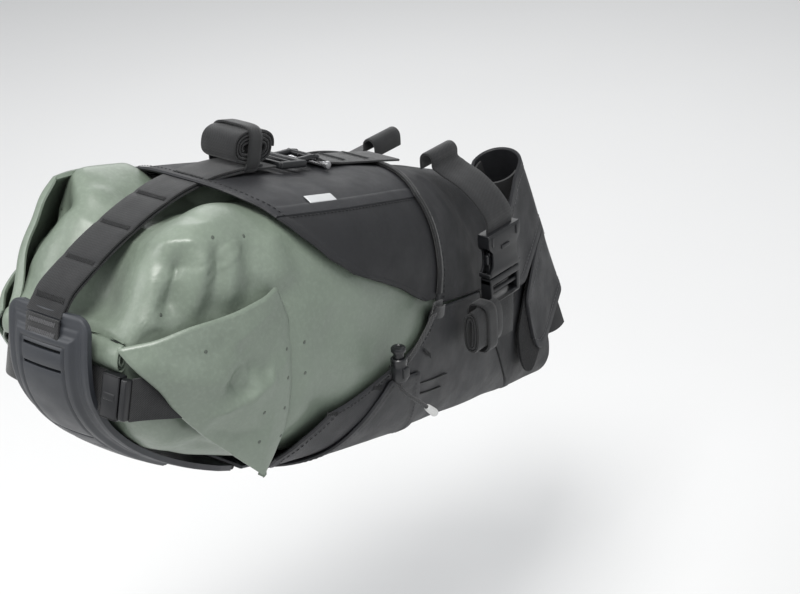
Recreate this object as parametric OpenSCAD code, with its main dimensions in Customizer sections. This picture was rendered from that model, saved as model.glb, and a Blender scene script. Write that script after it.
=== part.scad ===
// Seat pack: a rear dry bag carried in a holster that hangs from two saddle rails
// and wraps a seat post. +X is the bike's forward direction, +Y its left, +Z up.
// The origin is on the seat post axis, at the middle of the post cradle.

/* [Seat post and rails] */
// Diameter of the seat post that the cradle takes
post_d = 27.2; // [27.2:0.1:31.6]
// Length of the cradle along the post
cradle_len = 140; // [120:1:150]
// Lean of the seat post, rearward from vertical, in degrees
post_lean = 21; // [19:0.5:23]
// Diameter of the saddle rails that the two loops take
rail_d = 7; // [7:0.1:7.4]
// Distance between the two saddle rails
rail_span = 44; // [42:0.5:46]

/* [Bag] */
// Slope of the bag's long axis, rear end up, in degrees
bag_tilt = 16; // [14:0.5:18]
// Length of the dry bag along its axis
bag_len = 389; // [384:1:392]
// Scale of the bag's width
bag_width_scale = 1; // [0.98:0.01:1.02]
// Wall of the dry bag's coated fabric
bag_wall = 1.6; // [1.2:0.1:2]

/* [Holster] */
// Space between the dry bag and the holster
holster_gap = 2.6; // [2.4:0.1:3]
// Thickness of the holster's laminate
laminate_t = 1.4; // [1.2:0.1:1.6]
// Width of the webbing
webbing_w = 25; // [24:0.5:26]
// Thickness of one layer of webbing
webbing_t = 1.5; // [1.3:0.1:1.7]

/* [Rear pad] */
// Width of the rear pad
pad_w = 58; // [54:1:62]
// Thickness of the rear pad
pad_t = 3; // [2.5:0.1:3.2]

/* [Hidden] */

sage = "#8f9c8c";
charcoal = "#3b3b3d";
black = "#1d1d1f";
grey = "#c9c9c7";

bag_front = -45;
bag_rear = bag_front - bag_len;
rel_lean = post_lean + bag_tilt;
slant = tan(rel_lean);
cradle_r = post_d / 2;
cradle_wall = 1.4;
axis_drop = 35;
sect = 3;
ring_n = 40;

// Girth of the bag along its axis: place, half width, underside, top
girth = [
    [bag_rear, 43, 12, 26],
    [bag_rear + 6, 49, -2, 42],
    [bag_rear + 18, 55, -16, 60],
    [bag_rear + 38, 62, -30, 75],
    [bag_rear + 63, 68, -42, 85],
    [bag_rear + 98, 73, -53, 92],
    [bag_rear + 145, 74.5, -60, 95],
    [bag_rear + 200, 69, -62, 95],
    [bag_rear + 250, 60, -61.5, 93],
    [bag_rear + 300, 48.5, -60.5, 90],
    [-85, 34, -59, 86],
    [bag_front, 22, -58, 80],
    [-20, 15, -57, 78]
];
half_w_row = [for (g = girth) [g[0], g[1] * bag_width_scale]];
low_row = [for (g = girth) [g[0], g[2]]];
top_row = [for (g = girth) [g[0], g[3]]];
widest = bag_rear + 145;
lowest = bag_rear + 200;

function clamp01(v) = min(1, max(0, v));
function signed_pow(v, p) = sign(v) * pow(abs(v), p);
// The sections lean over with the seat post toward the front of the bag
function lean_at(x) = slant * pow(clamp01((x + 250) / 150), 1.5);
// A point of the bag's surface: place x, angle a from +Y over the top, offset off.
// With keep = true the rear does not taper, so that the dry bag can slide out.
function surf(x, a, off, keep = false) =
    let (
        w = lookup(keep ? max(x, widest) : x, half_w_row) + off,
        lo = lookup(keep ? max(x, lowest) : x, low_row) - off,
        hi = lookup(keep ? max(x, widest) : x, top_row) + off,
        z = (hi + lo) / 2 + (hi - lo) / 2 * signed_pow(sin(a), 2 / sect)
    )
    [x - lean_at(x) * z, w * signed_pow(cos(a), 2 / sect), z];

// Closed patch of skin between offsets o1 and o2. Each row is [angle, front x, rear x]
function flat2(l) = [for (a = l) for (b = a) b];
function halves(f) = [[f[0], f[1], f[2]], [f[0], f[2], f[3]]];
module skin(rows, o1, o2, nx = 12, keep = true) {
    n = len(rows);
    m = nx + 1;
    pts = flat2([for (o = [o1, o2]) [for (r = rows) for (i = [0:nx])
        surf(r[1] + (r[2] - r[1]) * i / nx, r[0], o, keep)]]);
    q = function (layer, j, i) layer * n * m + j * m + i;
    inner = [for (j = [0:n - 2]) for (i = [0:nx - 1])
        [q(0, j, i), q(0, j + 1, i), q(0, j + 1, i + 1), q(0, j, i + 1)]];
    outer = [for (j = [0:n - 2]) for (i = [0:nx - 1])
        [q(1, j, i + 1), q(1, j + 1, i + 1), q(1, j + 1, i), q(1, j, i)]];
    ends = [for (i = [0:nx - 1]) for (j = [0, n - 1]) j == 0
        ? [q(0, j, i), q(0, j, i + 1), q(1, j, i + 1), q(1, j, i)]
        : [q(1, j, i), q(1, j, i + 1), q(0, j, i + 1), q(0, j, i)]];
    sides = [for (j = [0:n - 2]) for (i = [0, nx]) i == 0
        ? [q(1, j, i), q(1, j + 1, i), q(0, j + 1, i), q(0, j, i)]
        : [q(0, j, i), q(0, j + 1, i), q(1, j + 1, i), q(1, j, i)]];
    polyhedron(pts, flat2([for (f = flat2([inner, outer, ends, sides])) halves(f)]), convexity = 10);
}

// Closed solid swept through the bag's sections at the places xs
module loft(xs, off) {
    m = len(xs);
    pts = concat(
        [for (x = xs) for (k = [0:ring_n - 1]) surf(x, 360 * k / ring_n, off)],
        [surf(xs[0], 0, off) * 0.5 + surf(xs[0], 180, off) * 0.5],
        [surf(xs[m - 1], 0, off) * 0.5 + surf(xs[m - 1], 180, off) * 0.5]
    );
    wall = [for (i = [0:m - 2]) for (k = [0:ring_n - 1])
        [i * ring_n + k, i * ring_n + (k + 1) % ring_n, (i + 1) * ring_n + (k + 1) % ring_n,
            (i + 1) * ring_n + k]];
    first = [for (k = [0:ring_n - 1]) [m * ring_n, (k + 1) % ring_n, k]];
    last = [for (k = [0:ring_n - 1])
        [m * ring_n + 1, (m - 1) * ring_n + k, (m - 1) * ring_n + (k + 1) % ring_n]];
    polyhedron(pts, concat(wall, first, last), convexity = 10);
}

module on_post() rotate([0, -post_lean, 0]) children();
module on_bag() on_post() translate([0, 0, -axis_drop]) rotate([0, rel_lean, 0]) children();
module mirror_left(left) mirror([0, left ? 1 : 0, 0]) children();

// Band that follows a path in the bag's X-Z plane: t thick, w wide along Y
function unit2(v) = v / norm(v);
function normal2(p, i) =
    let (
        a = p[max(i - 1, 0)],
        b = p[min(i + 1, len(p) - 1)],
        d = unit2(b - a)
    )
    [-d[1], d[0]];
module band(path, t, w) {
    n = len(path);
    one = [for (i = [0:n - 1]) path[i] + normal2(path, i) * t / 2];
    two = [for (i = [n - 1:-1:0]) path[i] - normal2(path, i) * t / 2];
    rotate([90, 0, 0]) linear_extrude(w, center = true) polygon(concat(one, two));
}

// Dry bag ------------------------------------------------------------------
bag_steps = 20;
function bag_places(front, rear) =
    [for (i = [0:bag_steps]) front - (front - rear) * (1 - pow(1 - i / bag_steps, 1.4))];

module dry_bag_shell() {
    inset = 4;
    color(sage) on_bag() difference() {
        loft(bag_places(bag_front, bag_rear), 0);
        loft(bag_places(bag_front - inset, bag_rear + inset), -bag_wall);
    }
}

roll_x = bag_rear - 6.5;
roll_z = 20;
roll_len = 84;
roll_h = 17;
roll_t = 12;
strap_cut = 1.4;

module pill(len, a, b) {
    r = a / 2;
    linear_extrude(len, center = true) {
        square([a, b - a], center = true);
        for (s = [-1, 1]) translate([0, s * (b / 2 - r)]) circle(r, $fn = 32);
    }
}

module rolled_closure() {
    color(sage) on_bag() translate([roll_x, 0, roll_z]) rotate([90, 0, 0]) difference() {
        pill(roll_len, roll_t, roll_h);
        pill(roll_len - 6, 2.4, 13.4);
    }
}

module closure_stiffener() {
    color(black) on_bag() translate([roll_x, 0, roll_z]) cube([1.6, roll_len - 8, 12], center = true);
}

// Flat strap that follows a path seen from above
module side_band(path, t, z0, w) {
    n = len(path);
    one = [for (i = [0:n - 1]) path[i] + normal2(path, i) * t / 2];
    two = [for (i = [n - 1:-1:0]) path[i] - normal2(path, i) * t / 2];
    translate([0, 0, z0]) linear_extrude(w) polygon(concat(one, two));
}

closure_w = 18;
closure_z = -8.5;
module closure_strap_right() {
    path = [[-398, -67], [-416, -59.5], [-428, -55], [-436, -52.8], [-440.6, -52.2]];
    color(black) on_bag() side_band(path, strap_cut, closure_z, closure_w);
}

module closure_strap_left() {
    path = [[-398, 67], [-416, 59.5], [-428, 52.5], [-436.5, 44], [-440, 34], [-440.6, 20], [-440.6, -30],
        [-441, -34.4]];
    color(black) on_bag() side_band(path, strap_cut, closure_z, closure_w);
}

// Closure buckle: the female half sits beside the rear pad, the male half slides out sideways
closure_x = -444;
module closure_buckle_female() {
    color(black) on_bag() translate([closure_x, -40.8, closure_z + closure_w / 2]) difference() {
        cube([6, 12, 20], center = true);
        translate([0, -2, 0]) cube([3, 11, 16], center = true);
    }
}

module closure_buckle_male() {
    color(black) on_bag() translate([closure_x, -49.4, closure_z + closure_w / 2]) {
        cube([5, 4.4, 18], center = true);
        for (s = [-1, 1]) translate([0, 6, s * 5.6]) cube([2.2, 7.8, 3], center = true);
        translate([0, 5, 0]) cube([2.2, 5.8, 3], center = true);
    }
}

// Holster ------------------------------------------------------------------
gap_out = holster_gap + laminate_t;
function mirror_rows(rows) = [for (i = [len(rows) - 1:-1:0]) [180 - rows[i][0], rows[i][1], rows[i][2]]];

module holster_top_panel() {
    half = [[53, -205, -348], [60, -201, -352], [68, -194, -358], [76, -187, -362], [84, -181, -364]];
    rows = concat(half, [[90, -178, -365]], mirror_rows(half));
    color(charcoal) on_bag() skin(rows, holster_gap, gap_out, 10);
}

side_rows = [[4, -206, -222], [6, -205, -236], [10, -204, -254], [15, -203, -280], [19, -203, -299],
    [27, -204, -318], [40, -205, -336], [52, -205.5, -347.5]];
module holster_side_panel(left) {
    color(charcoal) on_bag() skin(left ? side_rows : mirror_rows(side_rows), holster_gap, gap_out, 8);
}

module holster_lower_shell() {
    half = [[1.4, -128.8, -211], [0, -127.8, -214], [-3, -126.8, -226], [-10, -122.4, -262],
        [-20, -117.6, -306], [-32, -113.4, -322], [-45, -108.4, -333], [-60, -104.2, -326],
        [-76, -101.4, -311]];
    up = [for (i = [len(half) - 1:-1:0]) half[i]];
    other = [for (r = half) [-180 - r[0], r[1], r[2]]];
    color(charcoal) on_bag()
        skin(concat(other, [[-90, -100.8, -308]], up), holster_gap, gap_out, 10);
}

module holster_floor_stiffener() {
    rows = [for (a = [-120, -104, -90, -76, -60]) [a, -125, -295]];
    color(black) on_bag() skin(rows, 0.9, holster_gap - 0.5, 8);
}

module front_cowl() {
    half = [[-89, -52, -99], [-76, -46, -99.5], [-60, -37, -102.5], [-45, -30, -106.5], [-32, -27, -111.5],
        [-20, -26, -115.5],
        [-10, -26, -120.5], [-3, -26, -125], [0, -26, -126.2], [1.8, -26, -127.2], [2.4, -26, -203.5],
        [12, -26, -201],
        [25, -26, -201.5], [40, -26, -202.5], [53, -26, -202.5], [68, -26, -192], [80, -26, -182]];
    rows = concat(half, [[90, -26, -176]], mirror_rows(half));
    color(charcoal) on_bag() skin(rows, holster_gap, gap_out, 10);
}

module cowl_front_panel() {
    color(charcoal) on_bag() loft([-32, -34.5], holster_gap - 0.5);
}

module cowl_piping() {
    half = [[5, -203, -207], [12, -200.5, -204.5], [25, -201, -205], [40, -202, -206], [53, -202, -206],
        [68, -191.5, -195.5], [80, -181.5, -185.5]];
    rows = concat(half, [[90, -175.5, -179.5]], mirror_rows(half));
    color(black) on_bag() skin(rows, gap_out + 0.6, gap_out + 2.6, 2);
}

module side_pocket() {
    half = [[-12, -222, -254], [-20, -218, -264], [-32, -212, -276], [-46, -206, -286], [-60, -202, -296],
        [-72, -200, -304]];
    other = [for (r = half) [-180 - r[0], r[1], r[2]]];
    color(charcoal) on_bag() skin(other, gap_out + 0.3, gap_out + 1.7, 6);
}

// Rear pad -----------------------------------------------------------------
hinge_x = -318;
hinge_z = -68.4;
pad_line = [[-455, 37], [-454.6, 22], [-453, 8], [-448, -7], [-436.5, -22.5], [-419, -36], [-396, -47.4],
    [-370, -56.2], [-345, -62.7], [-323, -67.4]];

module pad_outline(grow) {
    // Seen square to the pad's middle: a rounded panel that narrows toward the hinge
    w = pad_w / 2 + grow;
    translate([-380, 0, -20]) rotate([0, 48, 0]) linear_extrude(260, center = true) hull() {
        for (s = [-1, 1]) {
            translate([-88 - grow, s * (w - 10)]) circle(10, $fn = 32);
            translate([30, s * (w - 8)]) circle(8, $fn = 32);
            translate([110 + grow, s * (w - 14)]) circle(4, $fn = 32);
        }
    }
}

module slot_cut(x, z, turn, w) translate([x, 0, z]) rotate([0, turn, 0]) cube([20, w, 2.2], center = true);

module pad_slots() {
    slot_cut(-454, 15, 0, 30);
    slot_cut(-453, 5, -12, 30);
    slot_cut(-424, -33, -50, 30);
    slot_cut(-413, -40, -58, 30);
}

module rear_pad() {
    color(charcoal) on_bag() difference() {
        intersection() {
            band(pad_line, pad_t, pad_w);
            pad_outline(0);
        }
        pad_slots();
    }
}

module rear_pad_panel() {
    line = [[-457.6, 24], [-455.8, 8], [-450.6, -8.4], [-438.6, -24.8], [-420.6, -38.8], [-397.2, -50.2],
        [-376, -57.4]];
    color(charcoal) on_bag() difference() {
        band(line, 1.6, pad_w - 20);
        pad_slots();
    }
}

module pad_hinge_seam() {
    color(black) on_bag() translate([hinge_x, 0, hinge_z]) rotate([90, 0, 0])
        cylinder(h = pad_w - 20, d = 3, center = true, $fn = 32);
}

module pad_tongue() {
    line = [[-314, -68.2], [-290, -68.2], [-250, -68.2], [-215, -68.2]];
    color(charcoal) on_bag() band(line, 2.2, pad_w - 12);
}

// Top strap ----------------------------------------------------------------
strap_line = [[-456, 40], [-450, 49], [-435, 65], [-418, 78.5], [-397, 91.5], [-373, 101.6], [-345, 104.2],
    [-310, 104.6]];
module top_strap() {
    color(black) on_bag() band(strap_line, 2 * webbing_t, webbing_w);
}

module top_strap_bartack() {
    places = [[-444, 58.45, 46.8], [-408.6, 86.7, 31.8], [-385.8, 98.4, 22.8]];
    color(black) on_bag() for (p = places) translate([p[0], 0, p[1]]) rotate([0, -p[2], 0])
        cube([4, webbing_w - 2, 0.6], center = true);
}

roll_c = [-322, 117];
module webbing_coil(a, b, len) {
    difference() {
        pill(len, b, a);
        pill(len + 1, b - 9, a - 9);
    }
}

module top_strap_roll() {
    color(black) on_bag() translate([roll_c[0], 0, roll_c[1]]) rotate([90, 0, 0]) rotate([0, 0, 90])
        webbing_coil(34, 20, webbing_w);
}

module top_strap_keeper() {
    color(black) on_bag() translate([roll_c[0], 0, roll_c[1] - 2]) rotate([90, 0, 90]) difference() {
        cube([webbing_w + 4.4, 28, 12], center = true);
        cube([webbing_w + 1, 25.2, 13], center = true);
    }
}

module top_hook() {
    color(black) on_bag() translate([-288, 0, 104.6]) {
        difference() {
            cube([22, webbing_w + 6, 4], center = true);
            translate([-4, 0, 0]) cube([7, webbing_w, 5], center = true);
        }
        for (s = [-1, 1]) translate([17, s * 8, 0]) cube([14, 4, 3.4], center = true);
        translate([22, 0, -1.4]) cube([4, 20, 3.4], center = true);
    }
}

module anchor_webbing() {
    line = [[-256, 101.6], [-235, 101], [-205, 100.6], [-170, 99.6]];
    color(black) on_bag() band(line, webbing_t, webbing_w);
}

module anchor_ring() {
    color(black) on_bag() translate([-260, 0, 101.8]) rotate([90, 0, 0])
        cylinder(h = 34, d = 3, center = true, $fn = 32);
}

// Seat post cradle and flaps -----------------------------------------------
cradle_arc = 200;
module arc_wall(r, t, h, from, span) {
    rotate([0, 0, from]) rotate_extrude(angle = span, $fn = 96) translate([r, 0]) square([t, h]);
}

module post_cradle() {
    color(black) on_post() translate([0, 0, -cradle_len / 2])
        arc_wall(cradle_r, cradle_wall, cradle_len, 180 - cradle_arc / 2, cradle_arc);
}

flap_r = cradle_r + cradle_wall + 0.3;
flap_t = 1.8;
flap_start = 116;
tail_turn = 20;
// Outline of a flap's tail: along x from the post, z up the post
module tail_outline(h) {
    hull() {
        square([1, h]);
        translate([-14, 3]) square([1, h - 3]);
        translate([-43, 19.5]) circle(19, $fn = 48);
        translate([-46, h - 19]) circle(11, $fn = 32);
    }
}

module flap_tail_frame(z0, depth) {
    translate([0, 0, z0]) rotate([0, 0, tail_turn]) translate([0, -depth, 0]) rotate([90, 0, 0]) children();
}

module post_flap(z0, h) {
    color(charcoal) on_post() {
        translate([0, 0, z0]) arc_wall(flap_r, flap_t, h, -90 + tail_turn, flap_start + 90 - tail_turn);
        flap_tail_frame(z0, flap_r) linear_extrude(flap_t) tail_outline(h);
    }
}

module loop_patch(z0, h) {
    color(black) on_post() flap_tail_frame(z0, flap_r - 1.7) linear_extrude(1.3) translate([-24, 2])
        tail_outline(h);
}

// Saddle rail loops and their buckles ---------------------------------------
rail_on_bag = [-160, 103];
rail_x = rail_on_bag[0] * cos(bag_tilt) + rail_on_bag[1] * sin(bag_tilt) + axis_drop * sin(post_lean);
rail_z = rail_on_bag[1] * cos(bag_tilt) - rail_on_bag[0] * sin(bag_tilt) - axis_drop * cos(post_lean);
rail_r = rail_d / 2 + 0.1;
buckle_y = rail_span / 2 + 43;
buckle_z = rail_z - 38;
module on_rail(left) mirror_left(!left) translate([rail_x, 0, 0]) rotate([90, 0, 90]) children();

module rail_loop(left) {
    y = rail_span / 2;
    t = webbing_t;
    r = rail_r + t;
    leg = 6;
    out = buckle_y - y;
    color(black) on_rail(left) translate([y, rail_z]) {
        linear_extrude(webbing_w, center = true) difference() {
            union() {
                circle(r, $fn = 96);
                translate([-r, -leg]) square([2 * r, leg]);
            }
            circle(rail_r, $fn = 96);
            translate([-rail_r, -leg - 1]) square([2 * rail_r, leg + 1]);
        }
        linear_extrude(webbing_w - 0.2, center = true)
            polygon([[rail_r + 0.2, 0.1 - leg], [rail_r + 0.2, -2], [r - 0.2, -2], [24, -11],
                [out + t / 2, -29], [out + t / 2, -40.8], [out - t / 2, -40.8], [out - t / 2, -30],
                [23, -12.8]]);
    }
}

buckle_w = 32;
female_h = 28;
module rail_buckle_female(left) {
    color(black) on_rail(left) translate([buckle_y, buckle_z - female_h / 2]) difference() {
        cube([9, female_h, buckle_w], center = true);
        translate([0, -6, 0]) cube([5.4, female_h - 8, buckle_w - 6], center = true);
        translate([0, -2, 0]) cube([3.6, 9, buckle_w + 1], center = true);
        translate([0, 11, 0]) cube([2.6, 8, webbing_w + 1], center = true);
    }
}

male_top = buckle_z - female_h;
module rail_buckle_male(left) {
    color(black) on_rail(left) translate([buckle_y, male_top - 0.6]) {
        difference() {
            translate([0, -9, 0]) cube([8.4, 18, buckle_w - 2], center = true);
            translate([0, -12, 0]) cube([3.2, 14, webbing_w + 1], center = true);
            translate([0, -9, 0]) cube([9, 3, webbing_w + 1], center = true);
        }
        for (s = [-1, 1]) translate([0, 8, s * 10.6]) cube([3.2, 17, 3.4], center = true);
        translate([0, 6, 0]) cube([3.2, 13, 3.4], center = true);
    }
}

module adjust_webbing(left) {
    color(black) on_rail(left) translate([buckle_y, 0]) linear_extrude(webbing_w, center = true)
        translate([-webbing_t / 2, male_top - 45]) square([webbing_t, 27]);
}

coil_x = -29;
coil_z = buckle_z - 52;
module webbing_roll(left) {
    color(black) on_rail(left) translate([buckle_y + 7.2, coil_z, coil_x])
        webbing_coil(28, 13, webbing_w);
}

module roll_keeper(left) {
    color(black) on_rail(left) translate([buckle_y + 7.2, coil_z, coil_x]) difference() {
        cube([16.4, 32, 9], center = true);
        cube([13.6, 28.8, 10], center = true);
    }
}

// Drawcord -----------------------------------------------------------------
cord_d = 2.6;
lock_at = [-258, -83, -2];
cord_route = [[-222, -77.4, 25], [-229, -79.4, 19.2], [-237, -81.2, 12.4], [-245.4, -82.6, 5.2],
    [-252.4, -83, -0.6]];
tail_route = [[-258, -83, -9.8], [-255, -84, -14], [-248.5, -85, -18.6], [-239, -85.6, -23.4],
    [-230, -85.6, -28.4]];

function ring_frame(p, i) =
    let (
        t = unit2(p[min(i + 1, len(p) - 1)] - p[max(i - 1, 0)]),
        u = unit2(cross(t, [0, 1, 0])),
        v = cross(t, u)
    )
    [u, v];
module tube(p, d, sides) {
    n = len(p);
    pts = concat(
        [for (i = [0:n - 1]) let (f = ring_frame(p, i)) for (k = [0:sides - 1])
            p[i] + d / 2 * (cos(360 * k / sides) * f[0] + sin(360 * k / sides) * f[1])],
        [p[0], p[n - 1]]
    );
    wall = [for (i = [0:n - 2]) for (k = [0:sides - 1])
        [i * sides + (k + 1) % sides, i * sides + k, (i + 1) * sides + k, (i + 1) * sides + (k + 1) % sides]];
    caps = [for (k = [0:sides - 1]) for (e = [0, 1]) e == 0
        ? [n * sides, k, (k + 1) % sides]
        : [n * sides + 1, (n - 1) * sides + (k + 1) % sides, (n - 1) * sides + k]];
    polyhedron(pts, concat(wall, caps), convexity = 10);
}

module drawcord() color(black) on_bag() tube(cord_route, cord_d, 8);
module drawcord_tail() color(black) on_bag() tube(tail_route, cord_d, 8);

module on_lock() on_bag() translate(lock_at) rotate([0, -bag_tilt, 0]) children();
module cord_lock_body() {
    color(black) on_lock() difference() {
        cylinder(h = 14, d = 9.6, center = true, $fn = 48);
        translate([0, 0, 1]) cylinder(h = 13, d = 6.6, center = true, $fn = 48);
    }
}

module cord_lock_plunger() {
    color(black) on_lock() {
        translate([0, 0, 5.8]) cylinder(h = 10, d = 6.2, center = true, $fn = 48);
        translate([0, 0, 12.2]) cylinder(h = 3, d = 8.6, center = true, $fn = 48);
    }
}

module cord_lock_spring() {
    color(grey) on_lock() translate([0, 0, -2.3]) difference() {
        cylinder(h = 5.6, d = 5.4, center = true, $fn = 32);
        cylinder(h = 6, d = 3.8, center = true, $fn = 32);
    }
}

module cord_end() {
    n = len(tail_route);
    end = tail_route[n - 1];
    dir = unit2(end - tail_route[n - 2]);
    color(grey) on_bag() translate(end + dir * 5.7) rotate([0, acos(dir[2]), atan2(dir[1], dir[0])])
        cylinder(h = 11, d1 = 3.2, d2 = 4.8, center = true, $fn = 48);
}

module cord_loop() {
    color(black) on_bag() translate([-216, -74.4, 27]) rotate([0, 0, -8]) cube([10, 1.4, 7], center = true);
}

dry_bag_shell();
rolled_closure();
closure_stiffener();
closure_strap_left();
closure_strap_right();
closure_buckle_female();
closure_buckle_male();
holster_top_panel();
holster_side_panel(true);  // holster_side_panel_left
holster_side_panel(false);  // holster_side_panel_right
holster_lower_shell();
holster_floor_stiffener();
front_cowl();
cowl_front_panel();
cowl_piping();
side_pocket();
pad_tongue();
rear_pad();
rear_pad_panel();
pad_hinge_seam();
top_strap();
top_strap_bartack();
top_strap_roll();
top_strap_keeper();
top_hook();
anchor_webbing();
anchor_ring();
post_cradle();
post_flap(13.5, 59);  // post_flap_upper
post_flap(-44.5, 57);  // post_flap_lower
loop_patch(13.5, 51);  // loop_patch_upper
loop_patch(-44.5, 49);  // loop_patch_lower
rail_loop(true);  // rail_loop_left
rail_loop(false);  // rail_loop_right
rail_buckle_female(true);  // rail_buckle_female_left
rail_buckle_female(false);  // rail_buckle_female_right
rail_buckle_male(true);  // rail_buckle_male_left
rail_buckle_male(false);  // rail_buckle_male_right
adjust_webbing(true);  // adjust_webbing_left
adjust_webbing(false);  // adjust_webbing_right
webbing_roll(true);  // webbing_roll_left
webbing_roll(false);  // webbing_roll_right
roll_keeper(true);  // roll_keeper_left
roll_keeper(false);  // roll_keeper_right
drawcord();
drawcord_tail();
cord_lock_body();
cord_lock_plunger();
cord_lock_spring();
cord_end();
cord_loop();
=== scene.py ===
"""Looks of a seat pack: a roll-top dry bag in a laminate holster, hung from saddle rails and a seat post."""

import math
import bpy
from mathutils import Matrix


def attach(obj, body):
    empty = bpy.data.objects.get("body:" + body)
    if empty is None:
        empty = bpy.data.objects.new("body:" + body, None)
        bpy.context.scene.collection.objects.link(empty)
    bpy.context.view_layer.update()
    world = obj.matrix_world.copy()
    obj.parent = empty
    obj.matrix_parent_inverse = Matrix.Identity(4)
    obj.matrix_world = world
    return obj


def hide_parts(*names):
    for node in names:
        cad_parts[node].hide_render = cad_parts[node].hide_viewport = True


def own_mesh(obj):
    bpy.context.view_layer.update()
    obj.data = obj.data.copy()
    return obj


bl_info = {
    "name": "Seat pack",
    "version": (1, 0, 0),
    "blender": (4, 5, 0),
    "location": "3D View > Sidebar > Seat pack",
    "description": "Builds the fabric, webbing and moulded pieces of a seat pack on its packed frame",
    "category": "Add Mesh",
}

import bmesh
import bpy
import numpy as np
from mathutils import Matrix, Vector

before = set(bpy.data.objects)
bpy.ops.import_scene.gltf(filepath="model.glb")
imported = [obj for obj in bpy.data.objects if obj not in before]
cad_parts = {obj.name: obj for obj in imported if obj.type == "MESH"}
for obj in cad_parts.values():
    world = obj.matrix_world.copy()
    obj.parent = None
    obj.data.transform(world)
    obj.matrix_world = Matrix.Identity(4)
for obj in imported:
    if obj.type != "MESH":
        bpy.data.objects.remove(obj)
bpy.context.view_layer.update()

MM = 0.001
TILT = math.radians(16)
POST_LEAN = math.radians(21)
AXIS_DROP = 0.035
ON_POST = Matrix.Rotation(-POST_LEAN, 4, "Y")
ON_BAG = Matrix.Translation((AXIS_DROP * math.sin(POST_LEAN), 0,
    -AXIS_DROP * math.cos(POST_LEAN))) @ Matrix.Rotation(
    TILT, 4, "Y"
)
UP = Vector((0, 0, 1))


# Shapes of the bag, in millimetres in the bag's own frame ----

BAG_FRONT = -45
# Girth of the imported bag: place along it, half width, underside, top, squareness
GIRTH = np.array(
    [
        [-438, 43, 1, 35, 3.0],
        [-434, 47, -9, 48, 3.4],
        [-428, 51, -18, 63, 3.8],
        [-418, 55, -30, 78, 4.2],
        [-405, 60, -38.5, 87, 4.2],
        [-390, 65, -42, 91, 3.8],
        [-371, 69, -50, 93, 3.3],
        [-336, 73, -57, 94, 3.0],
        [-289, 74.2, -60, 94.6, 3.0],
        [-234, 69, -62, 94.8, 3.0],
        [-184, 60, -61.5, 93, 3.0],
        [-134, 48.5, -60.5, 90, 3.0],
        [-85, 34, -59, 86, 3.0],
        [-45, 22, -58, 80, 3.0],
        [-20, 15, -57, 78, 3.0],
    ]
)
# The holster's panels keep the girth of the widest place toward the rear, so the dry bag slides out
HOLSTER_GIRTH = np.array(
    [[-434, 74.5, -62, 95, 3], [-289, 74.5, -62, 95, 3], [-234, 69, -62, 95, 3], [-184, 60, -61.5, 93, 3]]
    + GIRTH[11:].tolist()
)


def lookup(x, table, column):
    return np.interp(x, table[:, 0], table[:, column])


def lean_at(x):
    return math.tan(TILT + POST_LEAN) * np.clip((x + 250) / 150, 0, 1) ** 1.5


def surface(x, angle, off=0.0, girth=GIRTH):
    """Points of the bag's surface at places x and angles from +Y over the top, in millimetres."""
    x, a = np.broadcast_arrays(np.asarray(x, float), np.radians(np.asarray(angle, float)))
    w = lookup(x, girth, 1) + off
    lo = lookup(x, girth, 2) - off
    hi = lookup(x, girth, 3) + off
    e = 2 / lookup(x, girth, 4)
    z = (hi + lo) / 2 + (hi - lo) / 2 * np.sign(np.sin(a)) * np.abs(np.sin(a)) ** e
    y = w * np.sign(np.cos(a)) * np.abs(np.cos(a)) ** e
    return np.stack([x - lean_at(x) * z, y, z], -1)


def grid_normals(p, outward):
    du = np.gradient(p, axis=0)
    dv = np.gradient(p, axis=1)
    n = np.cross(du, dv)
    n /= np.maximum(np.linalg.norm(n, axis=-1, keepdims=True), 1e-9)
    flip = np.sign(np.sum(n * outward, -1, keepdims=True).mean())
    return n * (flip if flip else 1)


def path_distance(points, line):
    """Distance of each point to a polyline, and how far along it, 0 to 1, the nearest place is."""
    line = np.asarray(line, float)
    seg = np.diff(line, axis=0)
    length = np.linalg.norm(seg, axis=1)
    start = np.r_[0, np.cumsum(length)]
    best = np.full(len(points), 1e9)
    along = np.zeros(len(points))
    for i, (a, d, l) in enumerate(zip(line[:-1], seg, length)):
        t = np.clip((points - a) @ d / (l * l), 0, 1)
        r = np.linalg.norm(points - a - t[:, None] * d, axis=1)
        hit = r < best
        best[hit] = r[hit]
        along[hit] = (start[i] + t[hit] * l) / start[-1]
    return best, along


def fade_ends(along, share=0.25):
    return np.clip(np.minimum(along, 1 - along) / share, 0, 1) ** 0.7


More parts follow.
